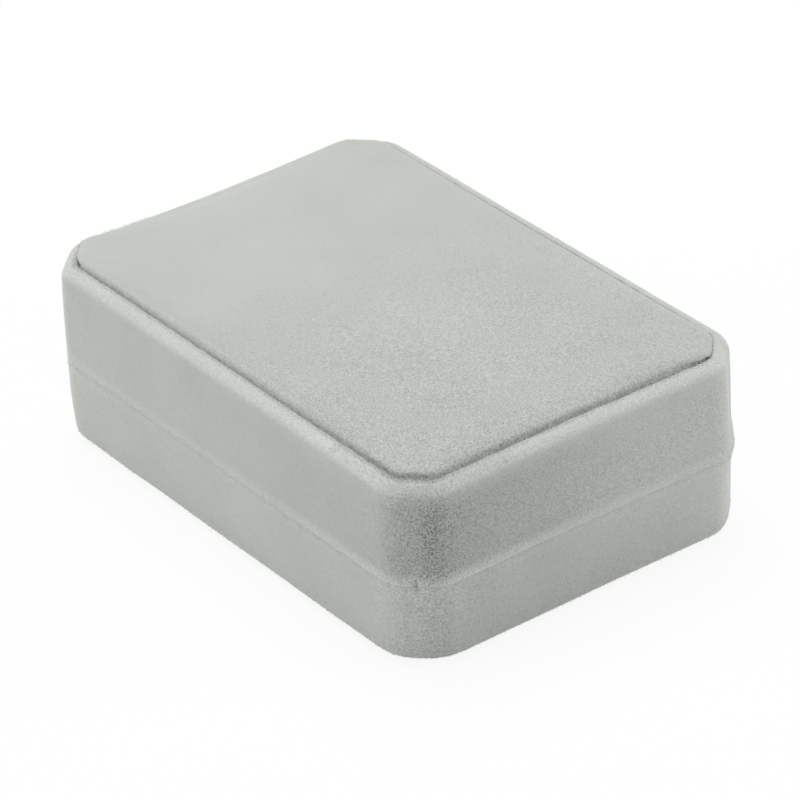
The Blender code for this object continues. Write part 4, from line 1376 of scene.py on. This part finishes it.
def thread_tree():
    """Scatters threads over the ground, which is the host mesh; the seed is fixed."""
    tree, given = new_tree(
        "pile threads",
        Ground=("Geometry", None),
        Density=("Float", PER_SQUARE_MM),
        Length=("Float", MM),
        Radius=("Float", THREAD_RADIUS),
        Lean=("Float", THREAD_LEAN),
        Pale_Tip=("Float", TIP_HIGHLIGHT),
        Seed=("Int", 1),
        Finish=("Material", None),
    )
    seed = given["Seed"]
    density = given["Density"] * (named(tree, "open_pile") * OPEN_DENSE + LEAST_DENSE)
    scattered = add_node(
        tree, "GeometryNodeDistributePointsOnFaces", Mesh=given["Ground"], Density=density, Seed=seed
    )
    shape = {"Radius_Top": 0.0, "Radius_Bottom": given["Radius"], "Depth": given["Length"]}
    thread = add_node(tree, "GeometryNodeMeshCone", Vertices=3, **shape)
    height = add_node(
        tree, "ShaderNodeSeparateXYZ", output="Z", Vector=add_node(tree, "GeometryNodeInputPosition")
    )
    most = add_node(tree, "ShaderNodeCombineXYZ", X=given["Lean"], Y=given["Lean"], Z=math.pi)
    least = add_node(tree, "ShaderNodeVectorMath", {"operation": "SCALE"}, _0=most, Scale=-1.0)
    turn = add_node(
        tree, "FunctionNodeRandomValue", {"data_type": "FLOAT_VECTOR"}, _0=least, _1=most, Seed=seed
    )
    leaned = add_node(
        tree,
        "FunctionNodeRotateRotation",
        {"rotation_space": "LOCAL"},
        Rotation=scattered.beside("Rotation"),
        Rotate_By=add_node(tree, "FunctionNodeEulerToRotation", Euler=turn),
    )
    placed = add_node(
        tree,
        "GeometryNodeInstanceOnPoints",
        Points=scattered,
        Instance=stored(tree, thread, "tip", height / given["Length"]),
        Rotation=leaned,
        Scale=add_node(tree, "FunctionNodeRandomValue", FLOAT, 1, _2=SHORTEST, _3=LONGEST, Seed=seed),
    )
    real = add_node(tree, "GeometryNodeRealizeInstances", Geometry=placed)
    # Painted light: roots paler than their ground against the threads' own shadows, and a painted highlight
    # towards each tip.
    paled = named(tree, "pale_pile") + named(tree, "tip") * given["Pale_Tip"] + ROOT_PAINTED_LIGHT
    turned = add_node(
        tree,
        "GeometryNodeSetMeshNormal",
        {"mode": "FREE", "domain": "POINT"},
        Mesh=stored(tree, real, "pale_pile", paled),
        Custom_Normal=scattered.beside("Normal"),
    )
    end_tree(tree, turned, given["Finish"])
    return tree


pile_threads = thread_tree()
print("thread tree ready")


# %% Growing threads on chosen faces
def faces_of(piece, chosen):
    """A copy of the piece's mesh with only the faces that chosen(centre, normal) picks."""
    build = bmesh.new()
    build.from_mesh(piece.data)
    rest = [face for face in build.faces if not chosen(face.calc_center_median(), face.normal)]
    bmesh.ops.delete(build, geom=rest, context="FACES")
    mesh = bpy.data.meshes.new(piece.name + "_ground")
    build.to_mesh(mesh)
    build.free()
    return mesh


def add_threads(name, piece, chosen, per_square_mm, length, seed, body):
    """Grows threads on chosen faces of a piece, riding the same body."""
    threads = grown(
        name,
        pile_threads,
        faces_of(piece, chosen),
        Density=per_square_mm * PER_SQUARE_MM,
        Length=length,
        Radius=THREAD_RADIUS,
        Lean=THREAD_LEAN,
        Pale_Tip=TIP_HIGHLIGHT,
        Seed=seed,
        Finish=velvet,
    )
    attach(threads, body)
    print(name, "made,", len(threads.data.polygons) // 4, "threads")


RIM_BAND = 0.9 * MM
FRONT_RIM_BAND = 1.2 * MM
NEAR_FRONT = 0.72
FOOT_HEIGHT = 4.0 * MM
FOOT_BAND = 2.5 * MM
PANEL_BAND = (RIM_TOP - 0.4 * MM, RIM_TOP + 0.7 * MM)
SEAM_BAND = 1.1 * MM
OFF_HINGE = 3.0 * MM


def on_near_side(place):
    """True along the two sides that face the front right corner."""
    to_right, to_back = place.x / HALF_LENGTH, place.y / HALF_WIDTH
    return to_back < -0.4 or (to_right > 0.8 and to_back < 0.75)


def on_rim_edge(place, normal):
    """The inner edge of the rim on the near sides, where it rolls into the groove."""
    at_groove = GROOVE - RIM_BAND < inset_of(place) < GROOVE + MM
    return on_near_side(place) and place.z > RIM_TOP - RIM_BAND and normal.z > -0.3 and at_groove


def on_front_rim(place, normal):
    """The top of the rim round the front right corner, where the cloth is bent twice."""
    on_top = place.z > RIM_TOP - FRONT_RIM_BAND and normal.z > 0.3 and inset_of(place) < GROOVE
    return on_top and toward_front(place) > NEAR_FRONT


def at_foot(place, normal):
    """The rolled foot of the base, but not its underside."""
    return place.z < FOOT_HEIGHT and normal.z > -0.9 and inset_of(place) < FOOT_BAND


def on_panel_edge(place, normal):
    """The lower part of the top panel's rounded edge."""
    low = PANEL_BAND[0] < place.z < PANEL_BAND[1]
    return low and on_near_side(place) and inset_of(place) < PANEL_INSET + PANEL_ROUND


def by_seam(place, normal):
    """The last millimetre of both wraps beside the seam, on the outside and not over the hinge."""
    outside = inset_of(place) < MM and inset_of(place + normal * MM) < inset_of(place)
    return abs(place.z - SEAM) < SEAM_BAND and outside and place.y < HALF_WIDTH - OFF_HINGE


add_threads("rim_threads", lid_wrap, on_rim_edge, 16.0, 0.85 * MM, 1, "lid")
add_threads("front_rim_threads", lid_wrap, on_front_rim, 7.0, 0.75 * MM, 8, "lid")
add_threads("foot_threads", base_wrap, at_foot, 5.0, 0.35 * MM, 9, "base")
add_threads("panel_edge_threads", top_panel, on_panel_edge, 9.0, 0.6 * MM, 2, "lid")
add_threads("lid_seam_threads", lid_wrap, by_seam, 8.0, 0.3 * MM, 3, "lid")
add_threads("base_seam_threads", base_wrap, by_seam, 8.0, 0.3 * MM, 4, "base")

# %% [markdown]
# ## Finishes of the solid parts
# The shells, cards and steel parts keep their own shapes and get the finishes made above.

# %% Finishes
FINISHES = (
    (moulded, ["lid_shell", "base_shell"]),
    (card, ["lid_top_board", "lid_pad_board", "bottom_panel", "pad_riser", "pad_board"]),
    (steel, ["hinge_leaf_lid", "hinge_leaf_base", "hinge_pin"]),
    (steel, ["lid_rivet_left", "lid_rivet_right", "base_rivet_left", "base_rivet_right"]),
)
for finish, nodes in FINISHES:
    for node in nodes:
        slots = bpy.data.objects[node].data.materials
        for index in range(len(slots)):
            slots[index] = finish
    print(finish.name, "on", ", ".join(nodes))

# %% [markdown]
# ## Floor, backdrop and light
# The photo is a product shot on white. The floor looks plain white to the camera, apart from the object's
# shadow. One large lamp hangs over the box, a low one stands at the camera's left, and a small low one lights
# the right wall from beyond the far right corner.

# %% Floor and world
FLOOR_REACH = 3.0
FLOOR_DEPTH = 0.2 * MM
FLOOR_WHITE = 0.9

floor_material, tree, shader = new_material("floor")
feed(tree, shader, Base_Color=(0.95, 0.95, 0.95, 1.0), Roughness=0.9)
seen = add_node(tree, "ShaderNodeLightPath", output="Is Camera Ray")
direct = add_node(
    tree,
    "ShaderNodeMath",
    {"operation": "ADD", "use_clamp": True},
    _0=seen + seen.beside("Is Glossy Ray"),
    _1=seen.beside("Is Transmission Ray"),
)
white = add_node(tree, "ShaderNodeEmission", Color=(1.0, 1.0, 1.0, 1.0), Strength=1.0)
lit = Socket(tree, shader.outputs[0])
mixed = add_node(tree, "ShaderNodeMixShader", _0=direct * FLOOR_WHITE, _1=lit, _2=white)
put(tree, tree.nodes["Material Output"].inputs["Surface"], mixed)

ground = bmesh.new()
bmesh.ops.create_grid(ground, x_segments=1, y_segments=1, size=FLOOR_REACH)
bmesh.ops.translate(ground, vec=(0.0, 0.0, -FLOOR_DEPTH), verts=ground.verts)
floor = piece_from("floor", ground, floor_material)

WORLD_GLOW = 0.45
world = bpy.data.worlds.new("studio")
bpy.context.scene.world = world
world.use_nodes = True
sky = world.node_tree
seen = add_node(sky, "ShaderNodeLightPath", output="Is Camera Ray")
glow = seen * (1.0 - WORLD_GLOW) + WORLD_GLOW
feed(sky, sky.nodes["Background"], Color=(1.0, 1.0, 1.0, 1.0), Strength=glow)
bpy.context.scene.view_settings.view_transform = "Standard"
print("floor and world ready")


# %% Lamps
def softbox(name, place, aim, size, power):
    """A soft rectangular lamp that the camera doesn't see."""
    lamp = bpy.data.lights.new(name, "AREA")
    lamp.shape = "RECTANGLE"
    lamp.size, lamp.size_y = size
    lamp.energy = power
    obj = bpy.data.objects.new(name, lamp)
    way = Vector(place) - Vector(aim)
    obj.matrix_world = Matrix.Translation(place) @ way.to_track_quat("Z", "Y").to_matrix().to_4x4()
    obj.visible_camera = False
    bpy.context.scene.collection.objects.link(obj)


softbox("lamp over the box", (-0.3, 0.1, 1.1), (0.0, 0.0, 0.0), (0.9, 0.9), 7.8)
softbox("lamp at the left", (-0.5, -1.0, 0.35), (0.0, 0.0, 0.02), (0.7, 0.4), 3.4)
softbox("lamp at the right", (0.42, 0.5, 0.2), (0.06, 0.05, 0.02), (0.3, 0.25), 1.12)
print("three lamps set")
